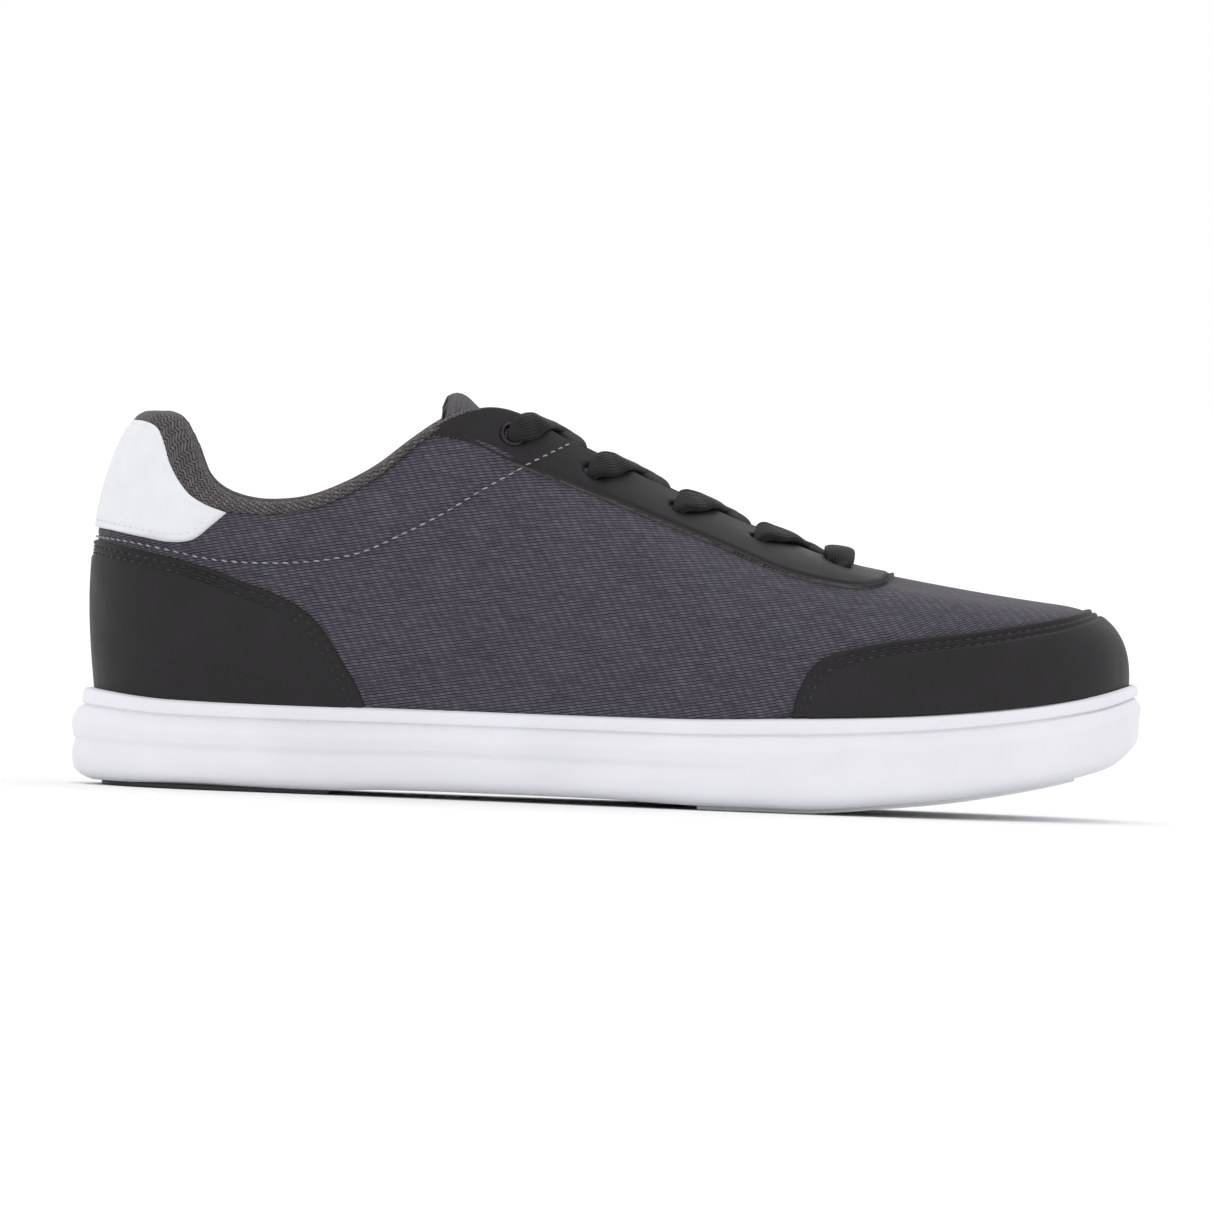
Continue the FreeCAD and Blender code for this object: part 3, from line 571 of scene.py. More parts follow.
def mesh_knit(name, light, dark, gap, size, depth):
    """A spacer knit: rows of small rounded loops, with painted shade in the holes between them."""
    s = Shading(name)
    place = s.uv()
    parts = s.add("SeparateXYZ", i0=place)
    up = s.math("DIVIDE", parts.outputs[1], size * 0.72)
    odd = s.math("PINGPONG", s.math("FLOOR", up), 1.0)
    across = s.math("ADD", s.math("DIVIDE", parts.outputs[0], size), s.math("MULTIPLY", odd, 0.5))
    loop = s.math("MULTIPLY", *(s.math("POWER", s.arch(s.math("FRACT", v)), 0.6) for v in (across, up)))
    tone = s.cell_tone(s.math("FLOOR", across), s.math("FLOOR", up))
    fibre = s.noise(place, 0.15, 2, 0.6)
    colour = s.mix(s.math("MULTIPLY_ADD", tone, 0.6, s.math("MULTIPLY", fibre, 0.4)), dark, light)
    # Painted shade: between the loops the colour turns to the dark gap colour.
    colour = s.mix(s.span(loop, 0.25, 0.6, 1.0, 0.0), colour, gap)
    normal = s.bump(loop, depth, 1.0)
    normal = s.bump(fibre, 0.05, 0.4, normal)
    return s.finish(colour, 0.9, normal, Sheen_Weight=0.2, Sheen_Roughness=0.5, Specular_IOR_Level=0.2)


def thread(name, light, dark):
    """Twisted sewing thread."""
    s = Shading(name)
    at = s.place()
    tone = s.noise(at, 1.6, 2)
    twist = s.add("TexWave", Vector=at, Scale=2.4, Distortion=1.5)
    twist.bands_direction = "DIAGONAL"
    colour = s.mix(s.span(tone, 0.3, 0.7), dark, light)
    normal = s.bump(twist.outputs[1], 0.05, 0.8)
    return s.finish(colour, 0.55, normal, Sheen_Weight=0.15, Specular_IOR_Level=0.35)


def ribbed_cord(name, light, dark):
    """Flat braided cord: plaited ribs along it, each a chain of small slanted bits of yarn, with painted
    shade near black in the grooves between them.
    """
    s = Shading(name)
    parts = s.add("SeparateXYZ", i0=s.uv())
    along, across = parts.outputs[0], parts.outputs[1]
    rows = s.math("DIVIDE", across, 0.82)
    share = s.math("FRACT", rows)
    odd = s.math("PINGPONG", s.math("FLOOR", rows), 1.0)
    slant = s.math("MULTIPLY", s.math("SUBTRACT", s.math("MULTIPLY", odd, 2.0), 1.0), share)
    bits = s.math("FRACT", s.math("ADD", s.math("DIVIDE", along, 0.7), s.math("MULTIPLY", slant, 0.6)))
    rib = s.math("POWER", s.arch(share), 0.7)
    bit = s.math("POWER", s.arch(bits), 0.6)
    knot = s.math("MULTIPLY", rib, s.math("MULTIPLY_ADD", bit, 0.5, 0.5))
    fibre = s.noise(s.place(), 0.2, 3, 0.6)
    # Painted shade: the colour follows the rib and bit relief, near black in the grooves.
    colour = s.mix(s.math("MULTIPLY", knot, s.span(fibre, 0.25, 0.75, 0.5, 1.15)), dark, light)
    normal = s.bump(knot, 0.3, 1.0)
    normal = s.bump(fibre, 0.05, 0.5, normal)
    return s.finish(colour, 0.75, normal, Sheen_Weight=0.08, Sheen_Roughness=0.4, Specular_IOR_Level=0.25)


def plated(name, colour, rough):
    """Plated metal with fine polishing marks."""
    s = Shading(name)
    at = s.place()
    marks = s.noise(at, 0.3, 3, 0.6, (1, 1, 5))
    patch = s.noise(at, 2.5, 2)
    normal = s.bump(marks, 0.012, 0.5)
    tint = s.mix(s.span(patch, 0.3, 0.7), colour, tuple(0.7 * v for v in colour[:3]) + (1,))
    return s.finish(tint, s.span(marks, 0.2, 0.8, rough, rough + 0.12), normal, Metallic=1.0)


def board(name, light, dark, size=1.2, depth=0.12):
    """Pressed fibre, foam or backing cloth: a mottled matt surface."""
    s = Shading(name)
    at = s.place()
    blobs = s.noise(at, size, 4, 0.65)
    patch = s.noise(at, 15, 2)
    colour = s.mix(s.math("MULTIPLY_ADD", blobs, 0.6, s.math("MULTIPLY", patch, 0.4)), dark, light)
    return s.finish(colour, s.span(blobs, 0.3, 0.7, 0.75, 0.92), s.bump(blobs, depth, 0.8))


WHITE_FOAM = foam_rubber("sole_foam", paint(231, 231, 237), paint(225, 225, 231))
TREAD_RUBBER = foam_rubber("tread_rubber", paint(38, 38, 39), paint(28, 28, 29))
SLIDE_PAD = board("slide_microfibre", paint(226, 228, 230), paint(205, 208, 211), 0.5, 0.08)
# TEXTILE, LINING_KNIT and TONGUE_CLOTH: the last colour is the painted shade between the yarns.
TEXTILE = weave("textile", paint(97, 94, 105), paint(70, 67, 77), paint(22, 20, 27),
                leg_share=0.82, leg_rise=0.66)
LEATHER = leather("leather", paint(30, 27, 30), paint(22, 20, 22), 0.5, (0.42, 0.55), 0.04)
# The eyestay's cut edge, much lighter than its face: the raw edge's own colour and a painted highlight along
# it.
CUT_EDGE_AND_HIGHLIGHT = leather("cut_edge_and_painted_highlight", paint(84, 80, 82), paint(62, 59, 61), 0.5, (0.6, 0.75))
WHITE_LEATHER = leather("white_leather", paint(229, 230, 234), paint(223, 224, 229), 0.7, (0.42, 0.52), 0.03)
LINING_KNIT = weave("lining_knit", paint(112, 106, 107), paint(78, 73, 75), paint(34, 31, 33),
                    row=0.95, wave=2.4, depth=0.22)
TONGUE_CLOTH = weave("tongue_knit", paint(96, 92, 98), paint(68, 65, 71), paint(30, 28, 33))
LINING_CLOTH = board("lining_cloth", paint(120, 117, 120), paint(92, 90, 94), 0.7, 0.08)
# The last colour is the painted shade in the knit's holes.
FOOTBED_CLOTH = mesh_knit("footbed_cloth", paint(88, 86, 90), paint(62, 60, 64), paint(38, 36, 40), 1.0, 0.15)
GREY_THREAD = thread("grey_thread", paint(176, 174, 178), paint(138, 136, 141))
BLACK_THREAD = thread("black_thread", paint(56, 54, 57), paint(18, 17, 19))
WHITE_THREAD = thread("white_thread", paint(232, 232, 236), paint(214, 214, 219))
# The dark colour is the painted shade in the cord's grooves.
LACE_CORD = ribbed_cord("lace_cord", paint(40, 38, 39), paint(7, 6, 7))
BLACK_NICKEL = plated("black_nickel", paint(62, 60, 62), 0.2)
# The CAD nodes that stay as they are and only get a material.
HIDDEN = {
    "midsole_insert": board("midsole_foam", paint(216, 214, 205), paint(196, 194, 186), 1.6),
    "shank": plated("shank_steel", paint(150, 152, 156), 0.35),
    "insole_board": board("board_fibre", paint(176, 160, 132), paint(150, 134, 108), 0.9),
    "footbed_foam": board("footbed_foam", paint(74, 74, 78), paint(58, 58, 62), 1.1),
    "vamp_lining": LINING_CLOTH,
    "toe_puff": board("stiffener", paint(190, 184, 170), paint(164, 158, 146), 0.8),
    "heel_counter": board("counter_board", paint(190, 184, 170), paint(164, 158, 146), 0.8),
    "collar_foam": board("padding_foam", paint(196, 192, 180), paint(168, 164, 152), 1.4),
    "heel_pad": TREAD_RUBBER,
    "slide_pad": SLIDE_PAD,
}


for node, material in HIDDEN.items():
    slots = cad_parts[node].data.materials
    slots.clear()
    slots.append(material)


def finish_piece(piece, body, finish, *nodes):
    """Says what a new piece moves with and stands for. The finish it is given is not used."""
    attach(piece, body)
    if nodes:
        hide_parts(*nodes)


# ---- the cupsole --------------------------------------------------------------------------------

SOLE_SECTION = (
    (0.0, 6.0), (0.04, 3.4), (0.11, 1.2), (0.22, 0.4), (0.34, 0.35), (0.43, 0.35), (0.53, 0.2),
    (0.64, 0.0), (0.72, 0.7), (0.79, 1.9), (0.815, 3.3), (0.84, 2.7), (0.95, 2.8), (0.985, 3.2), (1.0, 3.9),
)
CREASE = (0.43, 0.05, 0.75)
RING = 24 * STATIONS


def close_across(first, count):
    """Quads across a closed ring, from each point to the one opposite it."""
    faces = []
    for i in range(count // 2):
        far, near = (count - i) % count, count - i - 1
        quad = (first + i, first + i + 1, first + near, first + far)
        faces.append(tuple(dict.fromkeys(quad)))
    return [face for face in faces if len(face) > 2]


def ring_faces(rings, count):
    """Quads between closed rings of points that follow one another."""
    faces = []
    for k in range(rings - 1):
        for i in range(count):
            j = (i + 1) % count
            faces.append((k * count + i, k * count + j, (k + 1) * count + j, (k + 1) * count + i))
    return faces


def rings_solid(rows):
    """A closed mesh through rows of closed rings, with its ends closed across."""
    count = len(rows[0])
    faces = ring_faces(len(rows), count)
    faces += [face[::-1] for face in close_across(0, count)]
    faces += close_across((len(rows) - 1) * count, count)
    return np.concatenate(rows), faces


def drawn_in(plan, share):
    """A ring drawn in towards the middle line of the shoe."""
    opposite = np.roll(plan[::-1], 1, axis=0)
    middle = (plan + opposite) / 2 * (0.94, 1.0)
    return plan + (middle - plan) * share


def with_height(plan, height):
    return np.concatenate([plan, np.broadcast_to(height, len(plan))[:, None]], -1)


# How far the sole, and its foxing band besides, stand forward at the toe.
SOLE_REACH = 1.3
BAND_REACH = 1.7


def stretched(plan, band):
    """A ring of the sole drawn forward at the toe."""
    forward = (SOLE_REACH + band) * ease(plan[:, 0], 112, 147)
    return plan + np.stack([forward, np.zeros(len(plan))], -1)


def make_cupsole():
    """The moulded foam cup: rounded side, waist crease, groove, thin foxing band and the bed inside."""
    stations = np.arange(RING) * STATIONS / RING
    edge = edge_point(stations)[0]
    low, high = smooth(SOLE_HEIGHT, edge[:, 0]), smooth(RIM_HEIGHT, edge[:, 0])
    rows = []
    first = edge_point(stations, SOLE_SECTION[0][1])[0]
    for share in (0.88, 0.75, 0.6, 0.45, 0.3, 0.15, 0.05, 0.0):
        plan = drawn_in(first, share)
        rows.append(with_height(stretched(plan, 0), smooth(SOLE_HEIGHT, plan[:, 0])))
    shares = np.unique(np.round(np.concatenate([
        np.linspace(0.01, 1, 56), np.linspace(0.77, 0.87, 21), np.linspace(0.35, 0.51, 15),
        np.linspace(0.94, 1, 9)]), 4))
    centre, width, depth = CREASE
    side = stations < 12
    for share in shares:
        crease = depth * bump_at(share, centre, width) * (1 - ease(edge[:, 0], 18, 52))
        line = 58 + 12.8 * (share * (high - low) + low - 9.8) / 11.4
        step = 0.55 * ease(edge[:, 0] - line, -1.2, 1.2) * (1 - ease(edge[:, 0] - line, 3, 30))
        step *= side * ease(share, 0.28, 0.4) * (1 - ease(share, 0.62, 0.74))
        inset = smooth(SOLE_SECTION, share) + crease + step
        plan = edge_point(stations, inset)[0]
        foot = smooth(SOLE_HEIGHT, plan[:, 0])
        foot = shares_between(foot, low, ease(share, 0.0, 0.6))
        band = BAND_REACH * ease(share, 0.76, 0.86)
        rows.append(with_height(stretched(plan, band), foot + (high - foot) * share))
    lip = around(INSET, stations)
    for inset, drop in ((0.35, 0.0), (0.6, -0.03), (0.85, -0.18), (1.0, -0.5)):
        plan = edge_point(stations, shares_between(smooth(SOLE_SECTION, 1.0), lip, inset))[0]
        rows.append(with_height(stretched(plan, BAND_REACH * (1 - inset)), high + 0.12 + drop))
    bed = smooth(BED_HEIGHT, edge_point(stations, lip)[0][:, 0])
    plan = edge_point(stations, lip)[0]
    for share in (0.3, 0.6, 0.9, 1.0):
        rows.append(with_height(plan, high - 0.4 + (bed - high + 0.4) * share))
    for share in (0.1, 0.3, 0.5, 0.7, 0.88):
        inner = drawn_in(plan, share)
        rows.append(with_height(inner, smooth(BED_HEIGHT, inner[:, 0])))
    points, faces = rings_solid(rows)
    piece = make_object("cupsole_foam", points, faces, WHITE_FOAM)
    finish_piece(piece, "shoe", "sole_foam", "cupsole")


def shares_between(first, last, share):
    return first + (last - first) * share


# ---- the textile upper --------------------------------------------------------------------------

TEXTILE_THICK = 1.15
# The station where the weave stops following x and goes by the way round the heel.
WEAVE_TURN = 9


def seam_gap(points):
    """How far above the collar seam a point lies in the side view: negative below."""
    along = np.linspace(COLLAR_SEAM[0][0], COLLAR_SEAM[-1][0], 300)
    heights = smooth(COLLAR_SEAM, points[..., 0])
    steep = np.interp(points[..., 0], along, np.gradient(smooth(COLLAR_SEAM, along), along))
    return (points[..., 2] - heights) / np.sqrt(1 + steep ** 2)


def fabric_height(station, rise):
    """The textile's own relief: a gutter at the collar seam and a soft puff above it."""
    points = wall(station, rise)
    gap = seam_gap(points)
    reach = 1 - ease(points[..., 0], -14, -6)
    behind = ease(points[..., 0], -122, -104)
    puff = 0.75 * ease(gap, 0.2, 5.5) * (1 - ease(gap, 9, 22))
    gutter = -0.5 * np.exp(-(gap / 0.75) ** 2)
    waves = 0.1 * np.sin(points[..., 0] / 2.9 * 2 * math.pi) * np.exp(-((gap - 1.5) / 1.6) ** 2)
    return (puff * behind + gutter + waves) * reach


def weave_place(points):
    """Where each point lies on the cloth: along the shoe, and up from the sole's rim.

    In front of the heel the cloth runs by its x. Behind that it runs by the way round the heel."""
    x = points[..., 0]
    arc = ways_across(points)
    first = RING * WEAVE_TURN // STATIONS
    half = points[first:RING // 2 + 1]
    way = np.cumsum(np.linalg.norm(np.diff(half, axis=0, prepend=half[:1]), axis=-1), axis=0)
    along = x.copy()
    along[first:RING // 2 + 1] = x[first] - way
    along[RING // 2:] = along[RING // 2:0:-1]
    return np.stack([along + 0.55 * arc, arc + 0.14 * np.clip(x, -200, 80)], -1)


def make_textile():
    """The knitted upper, one closed shell from inside the cup to the top line."""
    stations = np.arange(RING) * STATIONS / RING
    rises = np.unique(np.round(np.concatenate([
        np.linspace(-0.85, 0, 5), np.linspace(0, 0.02, 3), np.linspace(0.02, 0.997, 120)]), 5))
    grid_s, grid_r = np.meshgrid(stations, rises, indexing="ij")
    outer = raised(grid_s, grid_r, fabric_height(grid_s, grid_r))
    inner = raised(grid_s, grid_r, -TEXTILE_THICK)
    rows, columns = grid_s.shape
    faces = grid_faces(rows, columns, closed=True)
    points, faces = thick_shell(outer.reshape(-1, 3), inner.reshape(-1, 3), faces)
    uv = weave_place(outer).reshape(-1, 2)
    piece = make_object("upper_textile", points, faces, TEXTILE, np.concatenate([uv, uv]))
    finish_piece(piece, "shoe", "textile", "textile_upper")


# ---- leather overlays ---------------------------------------------------------------------------

PANEL_THICK = 1.1
# How deep a panel's back lies in the textile, its height at its very edge as a share, and the
# widths of a stitch gutter and of the cut edge that shows in a lighter material: the raw edge's
# own colour and a painted highlight.
PANEL_SINK = 0.25
EDGE_SHARE = 0.3
GUTTER_WIDTH = 0.6
CUT_EDGE_AND_HIGHLIGHT_WIDTH = 0.5


def fine_stations(low, high, step=0.045):
    return np.linspace(low, high, int(round((high - low) / step)) + 1)


def make_panel(name, stations, rises, outline, material, seams, thick=PANEL_THICK, edge_round=0.9,
               relief=None, gutter=0.8, edge_and_highlight_material=None):
    """A leather panel cut to a side-view outline and laid on the upper.

    Its edge is rounded and each seam, a distance in from the edge, presses a gutter into it.
    The relief adds a height at each point, and the cut edge can take a lighter material: the raw edge's own
    colour and a painted highlight."""
    places, faces, cut = cut_sheet(stations, rises, lambda s, r: side_distance(wall(s, r), outline))
    station, rise = places.T
    base = wall(station, rise)
    edge = base[sorted(cut)]
    distance = nearest_distance(base, edge)
    round_off = np.clip(distance / edge_round, 0, 1)
    height = thick * (EDGE_SHARE + (1 - EDGE_SHARE) * np.sqrt(1 - (1 - round_off) ** 2))
    for seam in seams:
        height -= gutter * np.exp(-((distance - seam) / GUTTER_WIDTH) ** 2)
    if relief is not None:
        height += relief(base)
    outer = raised(station, rise, height)
    inner = raised(station, rise, -PANEL_SINK)
    points, faces = thick_shell(outer, inner, faces)
    piece = make_object(name, points, faces, material)
    # Faces within the cut edge's width take the lighter edge material, partly the raw edge's colour and
    # partly a painted highlight.
    if edge_and_highlight_material is not None:
        piece.data.materials.append(edge_and_highlight_material)
        for face, polygon in zip(faces, piece.data.polygons):
            if max(distance[i % len(distance)] for i in face) < CUT_EDGE_AND_HIGHLIGHT_WIDTH:
                polygon.material_index = 1
    return piece


def outline_line(edge, count=160):
    """A side-view edge as a fine polyline."""
    return along_curve(edge, count)


def closed_outline(edge, corners):
    return [tuple(p) for p in outline_line(edge)] + list(corners)


def seam_places(line, low, high, count, rise_low=0.0, rise_high=1.0):
    """Stations, and the rise at each where the upper meets a side-view line of heights."""
    stations = np.linspace(low, high, count)
    return stations, rises_on(line, stations, rise_low, rise_high)


def rises_on(line, stations, rise_low=0.0, rise_high=1.0):
    """The rise at each station where the upper meets a side-view line of heights."""
    count = len(stations)
    below, above = np.full(count, rise_low), np.full(count, rise_high)
    for _ in range(26):
        middle = (below + above) / 2
        points = wall(stations, middle)
        short = points[:, 2] < np.interp(points[:, 0], line[:, 0], line[:, 1])
        below, above = np.where(short, middle, below), np.where(short, above, middle)
    return (below + above) / 2


def capsule_row(path, normals, pitch, length, width, lean):
    """Stitches along a path: small capsules laid end to end with gaps between them."""
    run = way_along(path)
    sides, rings = 8, 7
    points, faces = [], []
    for i in range(int(run[-1] / pitch)):
        middle = (i + 0.5) * pitch
        track = np.linspace(middle - length / 2, middle + length / 2, rings)
        spots = np.stack([np.interp(track, run, column) for column in path.T], -1)
        ups = unit(np.stack([np.interp(track, run, column) for column in normals.T], -1))
        across = np.cross(unit(np.gradient(spots, axis=0)), ups)
        start = len(points)
        for k in range(rings):
            share = k / (rings - 1) * 2 - 1
            thick = math.sqrt(max(1 - share ** 4, 0.0)) * 0.92 + 0.08
            sink = -width * 0.9 * share ** 4
            shift = across[k] * lean * share * length / 2
            for m in range(sides):
                angle = 2 * math.pi * m / sides
                offset = across[k] * math.cos(angle) * width / 2 * thick
                offset = offset + ups[k] * (math.sin(angle) * width / 2 * thick + sink)
                points.append(spots[k] + offset + shift)
        for k in range(rings - 1):
            for m in range(sides):
                n = (m + 1) % sides
                a, b = start + k * sides, start + (k + 1) * sides
                faces.append((a + m, a + n, b + n, b + m))
        faces.append(tuple(start + m for m in reversed(range(sides))))
        faces.append(tuple(start + (rings - 1) * sides + m for m in range(sides)))
    return points, faces


def stitch_rows(name, finish, rows, material, lift, pitch, length, width, lean=0.0):
    """One finished piece of all the stitches of a seam. Each row is its stations and rises.

    The lift is one height over the upper, or a function of the row's points."""
    points, faces = [], []
    for station, rise in rows:
        base = wall(station, rise)
        height = lift(base) if callable(lift) else lift
        ups = wall_normal(station, rise)
        path = base + ups * np.asarray(height)[..., None]
        new_points, new_faces = capsule_row(path, ups, pitch, length, width, lean)
        faces += [tuple(i + len(points) for i in face) for face in new_faces]
        points += new_points
    finish_piece(make_object(name, points, faces, material), "shoe", finish)


def offset_line(edge, distance):
    """A side-view line moved sideways: to the left of its direction."""
    line = outline_line(edge)
    along = unit(np.gradient(line, axis=0))
    return line + np.stack([-along[:, 1], along[:, 0]], -1) * distance


SIDES = (-1, 1)
TOE_SEAMS = (2.0, 3.65)
HEEL_SEAMS = (1.8, 3.6)
TAB_SEAM = 2.0
EYESTAY_SEAM = 1.6


def make_toe_cap():
    outline = closed_outline(TOE_CAP_EDGE, [(137.2, 90), (170, 90), (170, 20)])
    rises = np.linspace(0.002, 0.68, 150)
    stations = fine_stations(-5.4, 5.4, 0.04)
    piece = make_panel("toe_cap_leather", stations, rises, outline, LEATHER, TOE_SEAMS)
    finish_piece(piece, "shoe", "leather", "toe_cap")
    rows = [seam_places(offset_line(TOE_CAP_EDGE, -gap), -5.02, 5.02, 500, 0.01, 0.7) for gap in TOE_SEAMS]
    stitch_rows("toe_cap_stitches", "leather", rows, BLACK_THREAD, 0.62, 3.15, 2.0, 0.5)


def make_heel_overlay():
    outline = closed_outline(HEEL_OVERLAY_EDGE, [(-170, 18), (-170, 69.6)])
    rises = np.concatenate([np.linspace(-0.25, 0.0, 4)[:-1], np.linspace(0, 0.9, 160)])
    piece = make_panel("heel_overlay_leather", fine_stations(7.2, 16.8), rises, outline, LEATHER, HEEL_SEAMS)
    finish_piece(piece, "shoe", "leather", "heel_overlay")
    rows = [seam_places(offset_line(HEEL_OVERLAY_EDGE, -gap), 7.0, 17.0, 500) for gap in HEEL_SEAMS]
    rows = [(station[rise > 0.01], rise[rise > 0.01]) for station, rise in rows]
    stitch_rows("heel_overlay_stitches", "leather", rows, BLACK_THREAD, 0.62, 3.0, 1.9, 0.5)


def make_heel_tab():
    lower, upper = outline_line(HEEL_TAB_LOWER), outline_line(HEEL_TAB_UPPER)
    outline = [tuple(p) for p in lower] + [tuple(p) for p in upper[1:]]
    piece = make_panel("heel_tab_leather", fine_stations(9.0, 15.0), np.linspace(0.3, 0.999, 190), outline,
                       WHITE_LEATHER, (TAB_SEAM,), thick=1.5, gutter=0.3)
    finish_piece(piece, "shoe", "tab_leather", "heel_tab")
    station, rise = seam_places(offset_line(HEEL_TAB_LOWER, TAB_SEAM), 9.0, 15.0, 500)
    keep = wall(station, rise)[:, 0] < -114
    rows = [(station[keep], rise[keep])]
    stitch_rows("heel_tab_stitches", "tab_leather", rows, WHITE_THREAD, 1.25, 2.3, 1.5, 0.42)


def hole_station(index, side):
    """The station of a lace hole, found by halving the span that holds it."""
    low, high = (1.5, 8.5) if side < 0 else (22.5, 15.5)
    for _ in range(30):
        middle = (low + high) / 2
        if wall(middle, HOLE_RISE)[0] > HOLE_PLACES[index]:
            low = middle
        else:
            high = middle
    return (low + high) / 2


def make_eyestay():
    outline = closed_outline(EYESTAY_EDGE, [(81.6, 130), (-58, 130)])
    holes = [wall(hole_station(i, side), HOLE_RISE) for i in range(len(HOLE_PLACES)) for side in SIDES]

    def dents(base):
        sink = np.zeros(len(base))
        for hole in holes:
            gap = np.linalg.norm(base - hole, axis=1)
            sink -= 2.6 * (1 - ease(gap, 1.2, 2.9))
        return sink

    piece = make_panel("eyestay_leather", fine_stations(-8.4, 8.4, 0.04), np.linspace(0.5, 1.0, 110), outline,
                       LEATHER, (EYESTAY_SEAM,), thick=1.0, edge_round=0.45, relief=dents, gutter=0.5,
                       edge_and_highlight_material=CUT_EDGE_AND_HIGHLIGHT)
    finish_piece(piece, "shoe", "leather", "eyestay")
    rows = [seam_places(offset_line(EYESTAY_EDGE, EYESTAY_SEAM), -7.6, 7.6, 900, 0.3)]
    stitch_rows("eyestay_stitches", "leather", rows, BLACK_THREAD, 0.5, 2.4, 1.9, 0.42)


def make_collar_seam():
    """The light stitching below the collar, which climbs over the eyestay to the throat."""
    eyestay = np.array(EYESTAY_EDGE)

    def lift(base):
        over = base[:, 2] - np.interp(base[:, 0], eyestay[:, 0], eyestay[:, 1])
        return 0.4 + 0.75 * ease(over, -0.5, 0.9) * ease(base[:, 0], -50, -40)

    line = outline_line(COLLAR_SEAM, 220)
    station, rise = seam_places(line, 6.1, 17.9, 900, 0.1, 0.985)
    keep = rise < 0.98
    rows = [(station[keep], rise[keep])]
    stitch_rows("collar_seam_stitches", "textile", rows, GREY_THREAD, lift, 2.9, 1.8, 0.46, lean=0.14)


# ---- collar, footbed and tongue -----------------------------------------------------------------

# The station where the lining starts, the depth of the layers outside it, the padding's greatest
# depth and the stations over which it swells up.
LINING_FRONT = 7.5
OUTER_LAYERS = 3.05
COLLAR_PADDING = 5.0
PADDED_FROM = (7.4, 9.2)
# How far down the outside the lining reaches, along the shoe.
LINING_STRIP = ((-108, 3.8), (-100, 2.3), (-86, 2.0), (-66, 1.6), (-44, 0.7), (-20, 0.5))


def padding(rise, station):
    """How deep the collar's padding reaches under the outer face."""
    swell = np.sin(math.pi * np.clip((rise - 0.42) / 0.62, 0, 1))
    return OUTER_LAYERS + COLLAR_PADDING * swell * ease(min(station, STATIONS - station), *PADDED_FROM)


def lining_edge():
    """The side-view line of the lining's outer edge: under the heel tab, then below the rim."""
    tab = np.array(HEEL_TAB_UPPER[::-1]) - (0, 0.8)
    tab = tab[tab[:, 0] < -109]
    rim = wall(np.linspace(6.5, 11.5, 400), 1.0)
    rim = rim[rim[:, 0] > -107]
    rim = rim[np.argsort(rim[:, 0])]
    heights = rim[:, 2] - smooth(LINING_STRIP, rim[:, 0])
    return np.concatenate([tab, np.stack([rim[:, 0], heights], -1)])


def collar_section(station, start):
    """The lining's section: up over the outer edge, round the roll and down the inside."""
    top = wall(station, 1.0)
    outward = np.append(edge_point(station)[1], 0.0)
    front = ease(top[0], -66, -44)
    proud = shares_between(0.5, 0.15, front)
    low = shares_between(start, 1.0, 0.3)
    points = [raised(station, start, proud * 0.4), raised(station, low, proud)]
    points.append(raised(station, shares_between(start, 1.0, 0.8), proud))
    points.append(top + outward * (proud - 0.35) + (0, 0, 0.3))
    points.append(top - outward * 1.7 + (0, 0, 0.5))
    points.append(top - outward * 3.6 + (0, 0, -0.7))
    for rise in (0.955, 0.9, 0.82, 0.73, 0.64, 0.55, 0.46, 0.34, 0.2, 0.08, 0.0, -0.3, -0.5):
        points.append(raised(station, rise, -padding(rise, station) - 0.9))
    return along_curve(points, 90)


def shell_of(rows, thickness, material, name, back=None):
    """A closed shell from a grid of points. Its back is given, or moved in along the grid's own normals."""
    grid = np.array(rows)
    normal = unit(np.cross(np.gradient(grid, axis=0), np.gradient(grid, axis=1)))
    back = grid - normal * thickness if back is None else np.array(back)
    count, columns = grid.shape[:2]
    points, faces = thick_shell(grid.reshape(-1, 3), back.reshape(-1, 3), grid_faces(count, columns))
    arc = ways_across(grid)
    run = way_along(grid[:, columns // 2])
    uv = np.stack([np.broadcast_to(run[:, None], arc.shape), arc], -1).reshape(-1, 2)
    return make_object(name, points, faces, material, np.concatenate([uv, uv]))


def make_collar_lining():
    stations = np.linspace(LINING_FRONT, STATIONS - LINING_FRONT, 230)
    starts = np.minimum(rises_on(lining_edge(), stations, 0.5), 0.985)
    rows = [collar_section(station, start) for station, start in zip(stations, starts)]
    piece = shell_of(rows, 0.8, LINING_KNIT, "collar_lining_padded")
    finish_piece(piece, "shoe", "lining_knit", "collar_lining")


FOOTBED_RISE = 6.52
# How far inside the cup's edge line the cloth ends.
FOOTBED_INSET = 6.35


def make_footbed():
    """The footbed's top cloth, with a raised rim under the arch and around the heel."""
    stations = np.arange(RING // 2) * STATIONS / (RING // 2)
    inset = around(INSET, stations) + FOOTBED_INSET
    edge = edge_point(stations, inset)[0]

    def cover_floor(plan):
        return smooth(BED_HEIGHT, plan[:, 0]) + FOOTBED_RISE

    rows = []
    for share in (0.88, 0.7, 0.5, 0.3, 0.15, 0.05, 0.0):
        plan = drawn_in(edge, share)
        rows.append(with_height(plan, cover_floor(plan)))
    for share, lift in ((0.0, 0.5), (0.006, 0.95), (0.02, 1.05), (0.06, 0.98), (0.12, 0.95), (0.2, 0.92),
                        (0.35, 0.9), (0.5, 0.9), (0.7, 0.9), (0.88, 0.9)):
        plan = drawn_in(edge, share)
        rows.append(with_height(plan, cover_floor(plan) + lift))
    points, faces = rings_solid(rows)
    piece = make_object("footbed_cover_cloth", points, faces, FOOTBED_CLOTH, points[:, :2])
    finish_piece(piece, "footbed", "footbed_cloth", "footbed_cover")


